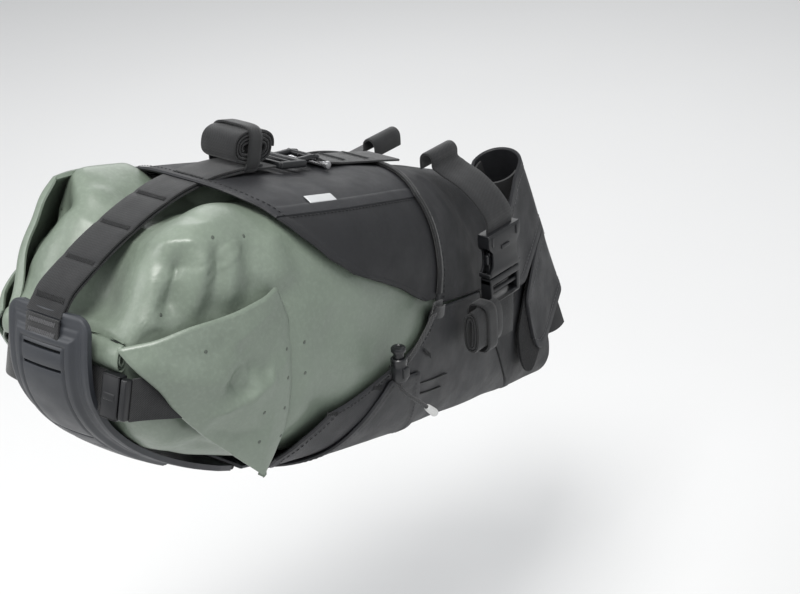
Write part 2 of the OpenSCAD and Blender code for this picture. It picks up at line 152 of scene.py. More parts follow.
# Folds of the dry bag: points, height (negative is a valley), half width, sharpness, fades at ends
FOLDS = [
    # The top strap presses a trough down the middle
    ([(-330, 0, 96), (-365, -1, 93), (-388, -3, 89), (-406, -5, 84), (-424, -6, 66), (-444, -8, 30)], -14,
        22, 2.0,
     False),
    ([(-356, -30, 95), (-384, -38, 90), (-409, -42, 80), (-428, -42, 58)], 4.0, 14, 2.0, True),
    # Pleats that fan out of the trough
    ([(-384, -8, 90), (-390, -26, 90), (-398, -44, 85)], -3.0, 6, 1.1, True),
    ([(-402, -12, 82), (-403, -30, 84), (-408, -48, 76)], -3.6, 6, 1.1, True),
    ([(-418, -14, 70), (-417, -32, 72), (-420, -50, 62)], -3.6, 6, 1.1, True),
    ([(-384, 10, 90), (-392, 24, 90), (-398, 34, 86)], -2.6, 6, 1.1, True),
    # Near shoulder: pleats that rise out of the ear's upper edge
    ([(-412, -48, 78), (-419, -55, 60), (-422, -57, 36)], -12, 9, 1.1, True),
    ([(-400, -54, 80), (-407, -61, 58), (-411, -64, 34)], 6.5, 7, 1.0, True),
    ([(-392, -56, 80), (-397, -64, 58), (-401, -67, 36)], -7, 6.5, 1.0, True),
    ([(-382, -58, 84), (-387, -67, 62), (-391, -71, 40)], 5.0, 7, 1.0, True),
    ([(-372, -60, 84), (-375, -70, 64), (-374, -74, 46)], -6.5, 8, 1.1, True),
    ([(-356, -62, 86), (-356, -71, 68), (-354, -75, 52)], 4, 10, 1.4, True),
    ([(-346, -66, 82), (-338, -74, 62), (-334, -76, 44)], -2.4, 9, 1.3, True),
    # Far horn: the top edge stands up, and a deep recess runs down behind its rim
    ([(-352, 34, 95), (-372, 40, 94), (-392, 44, 90), (-408, 46, 84)], 11.0, 15, 2.0, True),
    ([(-402, 44, 86), (-409, 45, 70), (-413, 43, 56), (-419, 41, 42), (-432, 36, 26)], -19, 10, 1.6, True),
    ([(-386, 22, 92), (-400, 25, 86), (-410, 26, 70), (-417, 26, 50)], 4.5, 7, 1.1, True),
    ([(-402, 56, 72), (-394, 64, 50), (-386, 68, 30)], -5, 9, 1.1, True),
    ([(-414, 54, 60), (-404, 61, 36), (-394, 66, 12)], 5, 9, 1.1, True),
    ([(-424, 50, 40), (-412, 57, 18), (-398, 62, -6)], -6, 8, 1.1, True),
    ([(-430, 46, 18), (-414, 56, 0), (-392, 62, -20)], 4, 8, 1.2, True),
    ([(-372, 70, 40), (-350, 74, 30), (-322, 76, 26)], -2.6, 12, 1.4, True),
    ([(-366, 66, 66), (-345, 72, 58), (-318, 75, 52)], 2.6, 13, 1.6, True),
    # Ear side, under the ear and round its edge, and the swell where the ear runs into the body
    ([(-440, -46, 26), (-424, -58, 32), (-402, -66, 38), (-380, -71, 45), (-364, -74, 53)], -4.5, 7, 1.2, True),
    ([(-428, -52, 6), (-414, -56, -10), (-392, -58, -26)], -7, 9, 1.4, True),
    ([(-352, -74, 46), (-338, -74, 28), (-330, -74, 2), (-330, -72, -24), (-338, -68, -42)], 2.8, 13, 2.0,
        True),
    ([(-352, 74, 46), (-338, 74, 28), (-330, 74, 2), (-330, 72, -24), (-338, 68, -42)], 2.8, 13, 2.0, True),
    # Belly and rear underside
    ([(-432, -20, 0), (-405, -30, -26), (-372, -38, -44)], 3.6, 9, 1.3, True),
    ([(-436, 5, 4), (-405, 4, -30), (-370, 2, -46)], -5, 12, 1.5, True),
    ([(-428, 26, 0), (-402, 34, -26), (-370, 38, -42)], 3.4, 9, 1.3, True),
    ([(-398, -48, -30), (-368, -56, -42), (-345, -60, -50)], -3.4, 8, 1.2, True),
    # Long soft waves over the sides and the top
    ([(-352, -50, 92), (-325, -56, 92), (-300, -50, 96)], 1.8, 15, 2.0, True),
    ([(-318, -76, 34), (-292, -78, 24), (-262, -76, 20)], -2.0, 14, 2.0, True),
    ([(-326, -75, -20), (-306, -73, -34), (-292, -70, -42)], -1.8, 11, 1.8, True),
    ([(-322, -77, 10), (-292, -78, 2), (-268, -77, 6)], 1.6, 13, 2.0, True),
]
HORN_RECESS = next(i for i, fold in enumerate(FOLDS) if fold[1] == -19)
# Welded seams of the dry bag: a narrow tape with a fine line along it
SEAMS = [
    [(-408, -55, 58), (-399, -60, 64), (-389, -61, 72), (-375, -62, 78), (-358, -65, 79), (-338, -69, 76),
     (-310, -74, 66)],
    [(-408, 55, 58), (-398, 60, 66), (-386, 62, 76), (-364, 64, 80), (-330, 70, 76), (-310, 74, 66)],
    [(-428, 0, -8), (-400, 0, -33), (-360, 0, -48), (-310, 0, -58)],
]
WELD_DOTS = [
    (-422, -58, 46), (-351, -75, 20), (-333, -76, 4), (-348, -75, 4), (-347, -74, -13), (-364, -72, -12),
    (-344, -70, -29), (-361, -67, -28), (-337, -76, 22), (-410, -62, 24), (-352, 75, 20), (-347, 74, -13),
    (-361, 67, -28), (-333, 76, 4), (-395, -52, 78), (-372, -61, 86), (-401, 52, 76),
]


def fold_height(points, depth):
    total = np.zeros(len(points))
    for line, height, width, power, ends in FOLDS:
        d, along = path_distance(points, line)
        wave = height * np.exp(-((d / width) ** power))
        total += wave * (fade_ends(along) if ends else fade_ends(along, 0.1))
    return total * depth


def seam_height(points):
    total = np.zeros(len(points))
    for line in SEAMS:
        d, along = path_distance(points, smooth_path(line, 40))
        ends = np.clip(np.minimum(along, 1 - along) / 0.08, 0, 1)
        total += ends * (0.5 * np.clip((5.5 - d) / 1.2, 0, 1) - 0.8 * np.exp(-((d / 1.2) ** 2)))
    return total


def crinkle(points, amount):
    """Small irregular buckles of a coated fabric, stronger toward the rolled end."""
    x, y, z = points.T
    wave = (
        np.sin(x / 13 + 2.1 * np.sin(z / 21) + y / 31) * np.sin(z / 17 + 1.7 * np.sin(x / 19) - y / 23)
        + 0.6 * np.sin(x / 6.5 + 1.9 * np.sin(y / 9 + z / 12)) * np.sin(z / 8 + y / 10 + 1.3 * np.sin(x / 7))
    )
    near_roll = np.clip((-x - 330) / 80, 0, 1)
    return amount * (0.25 + 0.9 * near_roll) * wave


# Mesh tools ----


def place(points, matrix=ON_BAG, unit=MM):
    p = np.asarray(points, float).reshape(-1, 3) * unit
    m = np.array(matrix)
    return p @ m[:3, :3].T + m[:3, 3]


def grid_faces(nu, nv, close_u=False, close_v=False, first=0):
    u = np.arange(nu if close_u else nu - 1)
    v = np.arange(nv if close_v else nv - 1)
    i, j = np.meshgrid(u, v, indexing="ij")
    a, b = (i + 1) % nu, (j + 1) % nv
    quads = np.stack([i * nv + j, a * nv + j, a * nv + b, i * nv + b], -1).reshape(-1, 4)
    return quads + first


def make(name, points, faces, material, uv=None, sharp=40, recalc=True):
    mesh = bpy.data.meshes.new(name)
    mesh.from_pydata([tuple(p) for p in points], [], [tuple(int(i) for i in f) for f in faces])
    if uv is not None:
        layer = mesh.uv_layers.new(name="Cloth")
        index = np.zeros(len(mesh.loops), np.int32)
        mesh.loops.foreach_get("vertex_index", index)
        layer.data.foreach_set("uv", np.asarray(uv, np.float32)[index].ravel())
    if recalc:
        bm = bmesh.new()
        bm.from_mesh(mesh)
        bmesh.ops.recalc_face_normals(bm, faces=bm.faces)
        bm.to_mesh(mesh)
        bm.free()
    mesh.shade_smooth()
    if sharp:
        mesh.set_sharp_from_angle(angle=math.radians(sharp))
    mesh.materials.append(material)
    piece = bpy.data.objects.new(name, mesh)
    bpy.context.scene.collection.objects.link(piece)
    return piece


def slab(outer, inner):
    """Points and faces of a closed sheet between two grids of points, with a rounded rim."""
    nu, nv = outer.shape[:2]
    border = (
        [(i, 0) for i in range(nu)]
        + [(nu - 1, j) for j in range(1, nv)]
        + [(i, nv - 1) for i in range(nu - 2, -1, -1)]
        + [(0, j) for j in range(nv - 2, 0, -1)]
    )
    rim = []
    for i, j in border:
        p, q = outer[i, j], inner[i, j]
        back = outer[min(max(i, 1), nu - 2), min(max(j, 1), nv - 2)]
        out = p - back
        t = p - q
        size = np.linalg.norm(out)
        out = out / size if size > 1e-9 else out
        rim.append((p + q) / 2 + out * np.linalg.norm(t) * 0.45)
    count = nu * nv
    flat = [i * nv + j for i, j in border]
    n = len(flat)
    faces = [grid_faces(nu, nv), grid_faces(nu, nv, first=count)[:, ::-1]]
    k = np.arange(n)
    m = (k + 1) % n
    a = np.array(flat)
    mid = 2 * count + k
    faces.append(np.stack([a[k], mid, 2 * count + m, a[m]], -1))
    faces.append(np.stack([mid, a[k] + count, a[m] + count, 2 * count + m], -1))
    points = np.concatenate([outer.reshape(-1, 3), inner.reshape(-1, 3), np.array(rim)])
    return points, np.concatenate(faces)


def smooth_path(points, count):
    p = np.asarray(points, float)
    t = np.r_[0, np.cumsum(np.linalg.norm(np.diff(p, axis=0), axis=1))]
    m = np.gradient(p, t, axis=0) if len(p) > 2 else np.repeat((p[1:] - p[:1]) / t[-1], 2, 0)
    s = np.linspace(0, t[-1], count)
    i = np.clip(np.searchsorted(t, s, side="right") - 1, 0, len(t) - 2)
    h = (t[i + 1] - t[i])[:, None]
    u = (s - t[i])[:, None] / h
    return (
        (2 * u**3 - 3 * u**2 + 1) * p[i]
        + (u**3 - 2 * u**2 + u) * h * m[i]
        + (3 * u**2 - 2 * u**3) * p[i + 1]
        + (u**3 - u**2) * h * m[i + 1]
    )


# Section of a woven tape: across it, thickness, in half widths and half thicknesses
TAPE_SECTION = np.array(
    [[-1, 0], [-0.99, 0.72], [-0.93, 1.0], [-0.5, 1.0], [0, 1.0], [0.5, 1.0], [0.93, 1.0], [0.99, 0.72], [1, 0],
     [0.99, -0.72], [0.93, -1.0], [0.5, -1.0], [0, -1.0], [-0.5, -1.0], [-0.93, -1.0], [-0.99, -0.72]]
)


def tape(path, across, width, thick, count=80, smooth=True):
    """Points, faces and UVs of a woven tape along a path, in the path's own units."""
    p = smooth_path(path, count) if smooth else np.asarray(path, float)
    n = len(p)
    tangent = np.gradient(p, axis=0)
    tangent /= np.linalg.norm(tangent, axis=1, keepdims=True)
    across = np.broadcast_to(np.asarray(across, float), p.shape)
    across = across - np.sum(across * tangent, 1, keepdims=True) * tangent
    across /= np.linalg.norm(across, axis=1, keepdims=True)
    face = np.cross(tangent, across)
    s = TAPE_SECTION
    ring = (
        p[:, None]
        + across[:, None] * s[None, :, :1] * width / 2
        + face[:, None] * s[None, :, 1:] * thick / 2
    )
    run = np.r_[0, np.cumsum(np.linalg.norm(np.diff(p, axis=0), axis=1))]
    uv = np.stack(np.broadcast_arrays(s[None, :, 0] * width / 2, run[:, None]), -1).reshape(-1, 2)
    faces = grid_faces(n, len(s), close_v=True).tolist()
    k = len(s)
    faces += [list(range(k))[::-1], [(n - 1) * k + j for j in range(k)]]
    return ring.reshape(-1, 3), faces, uv


class Parts:
    """Collects closed shells, in one local frame and unit, into one mesh."""

    def __init__(self):
        self.points, self.faces, self.uv = [], [], []
        self.count = 0

    def add(self, points, faces, uv=None, matrix=None):
        points = np.asarray(points, float).reshape(-1, 3)
        if matrix is not None:
            m = np.array(matrix)
            points = points @ m[:3, :3].T + m[:3, 3]
        self.points.append(points)
        self.faces += [[int(i) + self.count for i in f] for f in faces]
        self.uv.append(np.zeros((len(points), 2)) if uv is None else np.asarray(uv))
        self.count += len(points)
        return self

    def bmesh(self, bm, matrix=None):
        bm.verts.index_update()
        self.add([v.co[:] for v in bm.verts], [[v.index for v in f.verts] for f in bm.faces], matrix=matrix)
        bm.free()
        return self

    def block(self, centre, size, bevel=0.8, segments=3, turn=None, taper=1.0):
        bm = bmesh.new()
        bmesh.ops.create_cube(bm, size=1)
        for v in bm.verts:
            v.co = Vector([c * s for c, s in zip(v.co, size)])
            if v.co.z > 0:
                v.co.x *= taper
                v.co.y *= taper
        if bevel:
            bmesh.ops.bevel(bm, geom=bm.edges[:], offset=bevel, segments=segments, profile=0.5, affect="EDGES")
        move = Matrix.Translation(centre) @ (turn or Matrix.Identity(4))
        return self.bmesh(bm, move)

    def prism(self, outline, depth, centre=(0, 0, 0), bevel=0.6, segments=2, turn=None):
        """Flat outline in X and Y, given depth along Z, with rounded edges."""
        bm = bmesh.new()
        low = [bm.verts.new((x, y, -depth / 2)) for x, y in outline]
        face = bm.faces.new(low)
        top = bmesh.ops.extrude_face_region(bm, geom=[face])
        bmesh.ops.translate(bm, vec=(0, 0, depth),
            verts=[v for v in top["geom"] if isinstance(v, bmesh.types.BMVert)])
        if bevel:
            rim = [e for e in bm.edges if abs(e.verts[0].co.z - e.verts[1].co.z) < 1e-6]
            bmesh.ops.bevel(bm, geom=rim, offset=bevel, segments=segments, profile=0.5, affect="EDGES")
        move = Matrix.Translation(centre) @ (turn or Matrix.Identity(4))
        return self.bmesh(bm, move)

    def lathe(self, profile, matrix=None, sides=48):
        """Turned shell: profile points are radius and height, closed on the axis or in a ring."""
        profile = np.asarray(profile, float)
        a = np.linspace(0, 2 * np.pi, sides, endpoint=False)
        ring = np.stack(
            [profile[:, None, 0] * np.cos(a), profile[:, None, 0] * np.sin(a), profile[:, None, 1] + 0 * a], -1
        )
        faces = grid_faces(len(profile), sides, close_v=True).tolist()
        closed = np.allclose(profile[0], profile[-1])
        if not closed:
            k = len(profile) - 1
            faces += [list(range(sides)), [k * sides + j for j in range(sides)][::-1]]
        return self.add(ring.reshape(-1, 3), faces, matrix=matrix)

    def tube(self, path, radius, sides=12, taper=None):
        p = np.asarray(path, float)
        t = np.gradient(p, axis=0)
        t /= np.linalg.norm(t, axis=1, keepdims=True)
        u = np.cross(t, [0.02, 1.0, 0.03])
        u /= np.linalg.norm(u, axis=1, keepdims=True)
        v = np.cross(t, u)
        a = np.linspace(0, 2 * np.pi, sides, endpoint=False)
        r = np.full(len(p), radius) if taper is None else radius * np.asarray(taper)
        ring = p[:, None] + r[:, None, None] * (np.cos(a)[None, :, None] * u[:, None] + np.sin(a)[None, :,
            None] * v[:, None])
        run = np.r_[0, np.cumsum(np.linalg.norm(np.diff(p, axis=0), axis=1))]
        uv = np.stack(np.broadcast_arrays(a[None, :] / (2 * np.pi), run[:, None]), -1).reshape(-1, 2)
        faces = grid_faces(len(p), sides, close_v=True).tolist()
        k = (len(p) - 1) * sides
        faces += [list(range(sides)), [k + j for j in range(sides)][::-1]]
        return self.add(ring.reshape(-1, 3), faces, uv)

    def piece(self, name, material, matrix=ON_BAG, unit=MM, sharp=40, mirror=False):
        points = np.concatenate(self.points)
        if mirror:
            points = points * [1, -1, 1]
        return make(name, place(points, matrix, unit), self.faces, material, np.concatenate(self.uv), sharp)


def round_outline(corners, radius, steps=6):
    """Outline through corners, each rounded by its radius."""
    pts = []
    n = len(corners)
    radii = radius if isinstance(radius, (list, tuple)) else [radius] * n
    for i in range(n):
        p = Vector(corners[i])
        a = Vector(corners[i - 1]) - p
        b = Vector(corners[(i + 1) % n]) - p
        r = min(radii[i], a.length * 0.48, b.length * 0.48)
        start, end = p + a.normalized() * r, p + b.normalized() * r
        for k in range(steps + 1):
            t = k / steps
            pts.append(tuple((1 - t) ** 2 * start + 2 * t * (1 - t) * p + t * t * end))
    return pts


def ridden(piece, body, slot, *nodes):
    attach(piece, body)
    if nodes:
        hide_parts(*nodes)
    return piece


def settle(name, points, faces, held, slack, grow=0.05, pressure=2.5, frames=18, reach=5.0, bending=0.4):
    """Lets slack coated fabric buckle by cloth simulation; points are in millimetres and move at most reach."""
    mesh = bpy.data.meshes.new(name)
    mesh.from_pydata([tuple(p) for p in points * MM], [], [tuple(int(i) for i in f) for f in faces])
    cloth_piece = bpy.data.objects.new(name, mesh)
    scene = bpy.context.scene
    scene.collection.objects.link(cloth_piece)
    for label, weights in (("Held", held), ("Slack", slack)):
        group = cloth_piece.vertex_groups.new(name=label)
        for level in np.unique(np.round(weights, 1)):
            chosen = np.flatnonzero(np.round(weights, 1) == level)
            group.add([int(i) for i in chosen], float(level), "REPLACE")
    cloth = cloth_piece.modifiers.new("Settle", "CLOTH")
    use = cloth.settings
    use.quality, use.mass, use.air_damping, use.time_scale = 7, 0.25, 2.0, 1.0
    use.tension_stiffness, use.compression_stiffness, use.shear_stiffness = 25, 25, 8
    use.tension_damping = use.compression_damping = use.shear_damping = 12
    use.bending_model, use.bending_stiffness, use.bending_damping = "ANGULAR", bending, 1.0
    use.vertex_group_mass, use.pin_stiffness = "Held", 1.0
    use.vertex_group_shrink, use.shrink_min, use.shrink_max = "Slack", 0.0, -grow
    use.use_pressure, use.uniform_pressure_force = pressure > 0, pressure
    use.effector_weights.gravity = 0
    cloth.point_cache.frame_start, cloth.point_cache.frame_end = 1, frames
    for step in range(1, frames + 1):
        scene.frame_set(step)
    moved = cloth_piece.evaluated_get(bpy.context.evaluated_depsgraph_get()).to_mesh()
    result = np.zeros(len(points) * 3)
    moved.vertices.foreach_get("co", result)
    result = result.reshape(-1, 3) / MM
    scene.frame_set(1)
    bpy.data.objects.remove(cloth_piece)
    shift = result - points
    size = np.linalg.norm(shift, axis=1, keepdims=True)
    return points + shift * np.minimum(1, reach / np.maximum(size, 1e-9))


# Materials ----


def new_material(name):
    mat = bpy.data.materials.new(name)
    mat.use_nodes = True
    mat.node_tree.nodes.clear()
    return mat, mat.node_tree


class Nodes:
    """Small helper that adds and links shader nodes of one material."""

    def __init__(self, name, **sockets):
        self.mat, self.tree = new_material(name)
        self.out = self.tree.nodes.new("ShaderNodeOutputMaterial")
        self.bsdf = self.tree.nodes.new("ShaderNodeBsdfPrincipled")
        self.tree.links.new(self.bsdf.outputs[0], self.out.inputs[0])
        self.coords = self.tree.nodes.new("ShaderNodeTexCoord")
        for key, value in sockets.items():
            self.bsdf.inputs[key.replace("_", " ")].default_value = value

    def add(self, kind, inputs=None, **props):
        node = self.tree.nodes.new(kind)
        for key, value in props.items():
            setattr(node, key, value)
        for key, value in (inputs or {}).items():
            socket = node.inputs[key]
            if isinstance(value, bpy.types.NodeSocket):
                self.tree.links.new(value, socket)
            else:
                socket.default_value = value
        return node

    def noise(self, scale, detail=3.0, rough=0.55, distortion=0.0, coords="Object"):
        vector = self.coords.outputs[coords]
        return self.add(
            "ShaderNodeTexNoise",
            {"Vector": vector, "Scale": scale, "Detail": detail, "Roughness": rough, "Distortion": distortion},
        ).outputs["Fac"]

    def math(self, operation, a, b=0.0, c=0.0):
        return self.add("ShaderNodeMath", {0: a, 1: b, 2: c}, operation=operation).outputs[0]

    def spread(self, value, low, high, from_low=0.3, from_high=0.7):
        return self.add(
            "ShaderNodeMapRange",
            {"Value": value, "From Min": from_low, "From Max": from_high, "To Min": low, "To Max": high},
        ).outputs[0]

    def mix(self, factor, dark, light):
        node = self.add("ShaderNodeMix", data_type="RGBA")
        self.tree.links.new(factor, node.inputs[0])
        for socket, value in ((node.inputs[6], dark), (node.inputs[7], light)):
            if isinstance(value, bpy.types.NodeSocket):
                self.tree.links.new(value, socket)
            else:
                socket.default_value = (*value[:3], 1)
        return node.outputs[2]

    def bump(self, height, strength, distance, under=None):
        inputs = {"Height": height, "Strength": strength, "Distance": distance}
        if under is not None:
            inputs["Normal"] = under
        return self.add("ShaderNodeBump", inputs).outputs[0]

    def finish(self, colour=None, rough=None, normal=None):
        for key, value in (("Base Color", colour), ("Roughness", rough), ("Normal", normal)):
            if value is not None:
                self.tree.links.new(value, self.bsdf.inputs[key])
        return self.mat


def tone(colour, factor):
    return tuple(min(1.0, c * factor) for c in colour[:3])


def weave_waves(n, pitch_u, pitch_v, coords="UV"):
    axes = n.add("ShaderNodeSeparateXYZ", {0: n.coords.outputs[coords]})
    u = n.math("SINE", n.math("MULTIPLY", axes.outputs[0], 2 * math.pi / pitch_u))
    v = n.math("SINE", n.math("MULTIPLY", axes.outputs[1], 2 * math.pi / pitch_v))
    return u, v, axes


def coated_fabric(name, colour, rough=0.4):
    n = Nodes(name, Specular_IOR_Level=0.5, Coat_Weight=0.12, Coat_Roughness=0.28)
    broad = n.noise(11, 4, 0.6, 0.4)
    fine = n.noise(420, 2)
    grain = n.noise(2600, 1)
    buckle = n.noise(58, 4, 0.55, 0.9)
    cloth = n.mix(n.spread(broad, 0, 1), tone(colour, 0.9), tone(colour, 1.1))
    # Painted highlight: the fine specks that the bump raises are painted a lighter sage.
    speck_highlight = n.mix(n.spread(fine, 0, 0.5, 0.45, 0.75), cloth, tone(colour, 1.22))
    under = n.bump(buckle, 0.35, 0.0016)
    normal = n.bump(grain, 0.25, 0.0001, n.bump(fine, 0.18, 0.0003, under))
    return n.finish(speck_highlight, n.spread(n.noise(36, 3), rough - 0.07, rough + 0.08), normal)


def laminate(name, colour, rough=0.55):
    n = Nodes(name, Specular_IOR_Level=0.42)
    broad = n.noise(16, 4, 0.6)
    axes = n.add("ShaderNodeSeparateXYZ", {0: n.coords.outputs["Object"]})
    diagonal = n.math("ADD", axes.outputs[0], axes.outputs[1])
    one = n.math("SINE", n.math("MULTIPLY", diagonal, 2 * math.pi / 0.0011))
    two = n.math("SINE", n.math("MULTIPLY", axes.outputs[2], 2 * math.pi / 0.0009))
    weave = n.math("MULTIPLY", one, two)
    colour_out = n.mix(n.spread(broad, 0, 1), tone(colour, 0.82), tone(colour, 1.2))
    lint = n.mix(n.spread(n.noise(900, 2), 0, 0.35, 0.6, 0.8), colour_out, tone(colour, 1.9))
    normal = n.bump(weave, 0.28, 0.00022, n.bump(n.noise(70, 4), 0.3, 0.0012))
    return n.finish(lint, n.spread(n.noise(55, 3), rough - 0.08, rough + 0.1), normal)


def moulded(name, colour, rough=0.5, grain=0.12):
    n = Nodes(name, Specular_IOR_Level=0.5)
    broad = n.noise(22, 3)
    fine = n.noise(1500, 2)
    colour_out = n.mix(n.spread(broad, 0, 1), tone(colour, 0.88), tone(colour, 1.14))
    scuff = n.mix(n.spread(n.noise(180, 5, 0.7, 1.2), 0, 0.4, 0.58, 0.75), colour_out, tone(colour, 1.7))
    normal = n.bump(fine, grain, 0.0002)
    return n.finish(scuff, n.spread(n.noise(60, 4), rough - 0.07, rough + 0.09), normal)


def woven(name, colour, pitch=0.0017, depth=0.55):
    n = Nodes(name, Specular_IOR_Level=0.35, Sheen_Weight=0.25, Sheen_Roughness=0.5)
    u, v, axes = weave_waves(n, pitch, pitch * 0.62)
    shifted = n.math("ADD", n.math("MULTIPLY", axes.outputs[0], 2 * math.pi / pitch),
        n.math("MULTIPLY", axes.outputs[1], 2 * math.pi / (pitch * 1.2)))
    twill = n.math("SINE", shifted)
    cross = n.math("MULTIPLY", u, v)
    height = n.math("ADD", n.math("MULTIPLY", twill, 0.5), n.math("MULTIPLY", cross, 0.6))
    # Painted shade and highlight: the weave's grooves are painted darker and its raised threads lighter, from the
    # bump's own height.
    base = n.mix(n.spread(height, 0, 1, -1, 1), tone(colour, 0.55), tone(colour, 1.5))
    dust = n.mix(n.spread(n.noise(300, 3), 0, 0.3, 0.55, 0.8), base, tone(colour, 2.4))
    normal = n.bump(height, depth, 0.00035)
    return n.finish(dust, n.spread(n.noise(120, 2), 0.62, 0.8), normal)


def pile(name, colour):
    n = Nodes(name, Specular_IOR_Level=0.1, Sheen_Weight=0.08, Sheen_Roughness=0.6, Roughness=0.98)
    cell = n.add("ShaderNodeTexVoronoi", {"Vector": n.coords.outputs["Object"],
        "Scale": 900.0}).outputs["Distance"]
    fuzz = n.noise(1400, 3)
    height = n.math("ADD", cell, fuzz)
    # Painted shade and highlight: the fuzz that raises the pile paints its hollows darker and its tips lighter.
    base = n.mix(n.spread(fuzz, 0, 1), tone(colour, 0.4), tone(colour, 1.3))
    return n.finish(base, None, n.bump(height, 0.9, 0.0008))


def braided(name, colour):
    n = Nodes(name, Specular_IOR_Level=0.35, Sheen_Weight=0.2)
    axes = n.add("ShaderNodeSeparateXYZ", {0: n.coords.outputs["UV"]})
    turn = n.math("MULTIPLY", axes.outputs[0], 2 * math.pi * 6)
    run = n.math("MULTIPLY", axes.outputs[1], 2 * math.pi / 0.0022)
    one = n.math("SINE", n.math("ADD", turn, run))
    two = n.math("SINE", n.math("SUBTRACT", turn, run))
    height = n.math("MAXIMUM", one, two)
    # Painted shade and highlight: the braid's grooves are painted darker and its strand crests lighter, from the
    # bump's own height.
    base = n.mix(n.spread(height, 0, 1, -0.5, 1), tone(colour, 0.6), tone(colour, 2.0))
    return n.finish(base, n.spread(n.noise(200, 2), 0.6, 0.75), n.bump(height, 0.7, 0.00035))


def steel(name, colour):
    n = Nodes(name, Metallic=0.9)
    streak = n.noise(800, 3, 0.5)
    return n.finish(n.mix(n.spread(streak, 0, 1), tone(colour, 0.8), tone(colour, 1.1)),
        n.spread(streak, 0.25, 0.42))


def studio_floor(name, colour):
    n = Nodes(name, Specular_IOR_Level=0.2)
    return n.finish(n.mix(n.spread(n.noise(3, 3), 0, 1), tone(colour, 0.985), tone(colour, 1.0)),
        n.spread(n.noise(8, 2), 0.75, 0.85))


MATERIALS = {}


def material(key):
    sizes = bpy.context.scene.seat_pack_finish
    if key not in MATERIALS:
        makers = {
            "sage": lambda: coated_fabric("Sage coated fabric", sizes.bag_colour),
            "sage_dark": lambda: coated_fabric("Weld mark", tone(sizes.bag_colour, 0.42), 0.45),
            "laminate": lambda: laminate("Charcoal laminate", sizes.laminate_colour),
            "laminate_dark": lambda: laminate("Side laminate", tone(sizes.laminate_colour, 0.72), 0.6),
            "pad": lambda: moulded("Moulded pad", sizes.pad_colour, 0.46),
            "webbing": lambda: woven("Black webbing", sizes.webbing_colour, 0.0013, 0.3),
            "binding": lambda: woven("Edge binding", tone(sizes.webbing_colour, 0.9), 0.0012, 0.4),
            "thread": lambda: moulded("Black thread", tone(sizes.webbing_colour, 0.8), 0.55, 0.3),
            "thread_grey": lambda: moulded("Grey thread", (0.10, 0.10, 0.105), 0.55, 0.3),
            "plastic": lambda: moulded("Buckle plastic", sizes.plastic_colour, 0.36, 0.06),
            "pile": lambda: pile("Loop pile", (0.012, 0.012, 0.013)),
            "grip": lambda: moulded("Grip rubber", (0.03, 0.03, 0.031), 0.75, 0.5),
            "cord": lambda: braided("Elastic cord", (0.02, 0.02, 0.021)),
            "grey": lambda: moulded("Light grey plastic", (0.62, 0.62, 0.61), 0.42, 0.05),
            "steel": lambda: steel("Steel wire", (0.45, 0.45, 0.46)),
            "reflective": lambda: moulded("Reflective tab", (0.52, 0.53, 0.54), 0.3, 0.2),
            "floor": lambda: studio_floor("Studio floor", (0.80, 0.80, 0.80)),
        }
        MATERIALS[key] = makers[key]()
    return MATERIALS[key]


# Repeats by geometry nodes ----


def tree_of(name, inputs):
    tree = bpy.data.node_groups.new(name, "GeometryNodeTree")
    tree.interface.new_socket("Geometry", in_out="INPUT", socket_type="NodeSocketGeometry")
    for label, kind, default in inputs:
        socket = tree.interface.new_socket(label, in_out="INPUT", socket_type=kind)
        if default is not None:
            socket.default_value = default
    tree.interface.new_socket("Geometry", in_out="OUTPUT", socket_type="NodeSocketGeometry")
    return tree


def stitch_tree():
    """Stitches laid end to end along every edge chain of the input."""
    if "Stitch row" in bpy.data.node_groups:
        return bpy.data.node_groups["Stitch row"]
    tree = tree_of(
        "Stitch row",
        [("Pitch", "NodeSocketFloat", 0.003), ("Length", "NodeSocketFloat", 0.0022),
         ("Thickness", "NodeSocketFloat", 0.0004), ("Material", "NodeSocketMaterial", None)],
    )
    new, link = tree.nodes.new, tree.links.new
    given, result = new("NodeGroupInput"), new("NodeGroupOutput")
    curve = new("GeometryNodeMeshToCurve")
    spaced = new("GeometryNodeResampleCurve")
    spaced.mode = "LENGTH"
    tangent = new("GeometryNodeInputTangent")
    turn = new("FunctionNodeAlignRotationToVector")
    turn.axis = "X"
    bead = new("GeometryNodeMeshIcoSphere")
    bead.inputs["Radius"].default_value = 0.5
    bead.inputs["Subdivisions"].default_value = 1
    size = new("ShaderNodeCombineXYZ")
    shaped = new("GeometryNodeTransform")
    lay = new("GeometryNodeInstanceOnPoints")
    real = new("GeometryNodeRealizeInstances")
    paint = new("GeometryNodeSetMaterial")
    link(given.outputs["Geometry"], curve.inputs["Mesh"])
    link(curve.outputs["Curve"], spaced.inputs["Curve"])
    link(given.outputs["Pitch"], spaced.inputs["Length"])
    link(tangent.outputs["Tangent"], turn.inputs["Vector"])
    link(given.outputs["Length"], size.inputs["X"])
    link(given.outputs["Thickness"], size.inputs["Y"])
    link(given.outputs["Thickness"], size.inputs["Z"])
    link(bead.outputs["Mesh"], shaped.inputs["Geometry"])
    link(size.outputs["Vector"], shaped.inputs["Scale"])
    link(spaced.outputs["Curve"], lay.inputs["Points"])
    link(shaped.outputs["Geometry"], lay.inputs["Instance"])
    link(turn.outputs["Rotation"], lay.inputs["Rotation"])
    link(lay.outputs["Instances"], real.inputs["Geometry"])
    link(real.outputs["Geometry"], paint.inputs["Geometry"])
    link(given.outputs["Material"], paint.inputs["Material"])
    link(paint.outputs["Geometry"], result.inputs["Geometry"])
    return tree


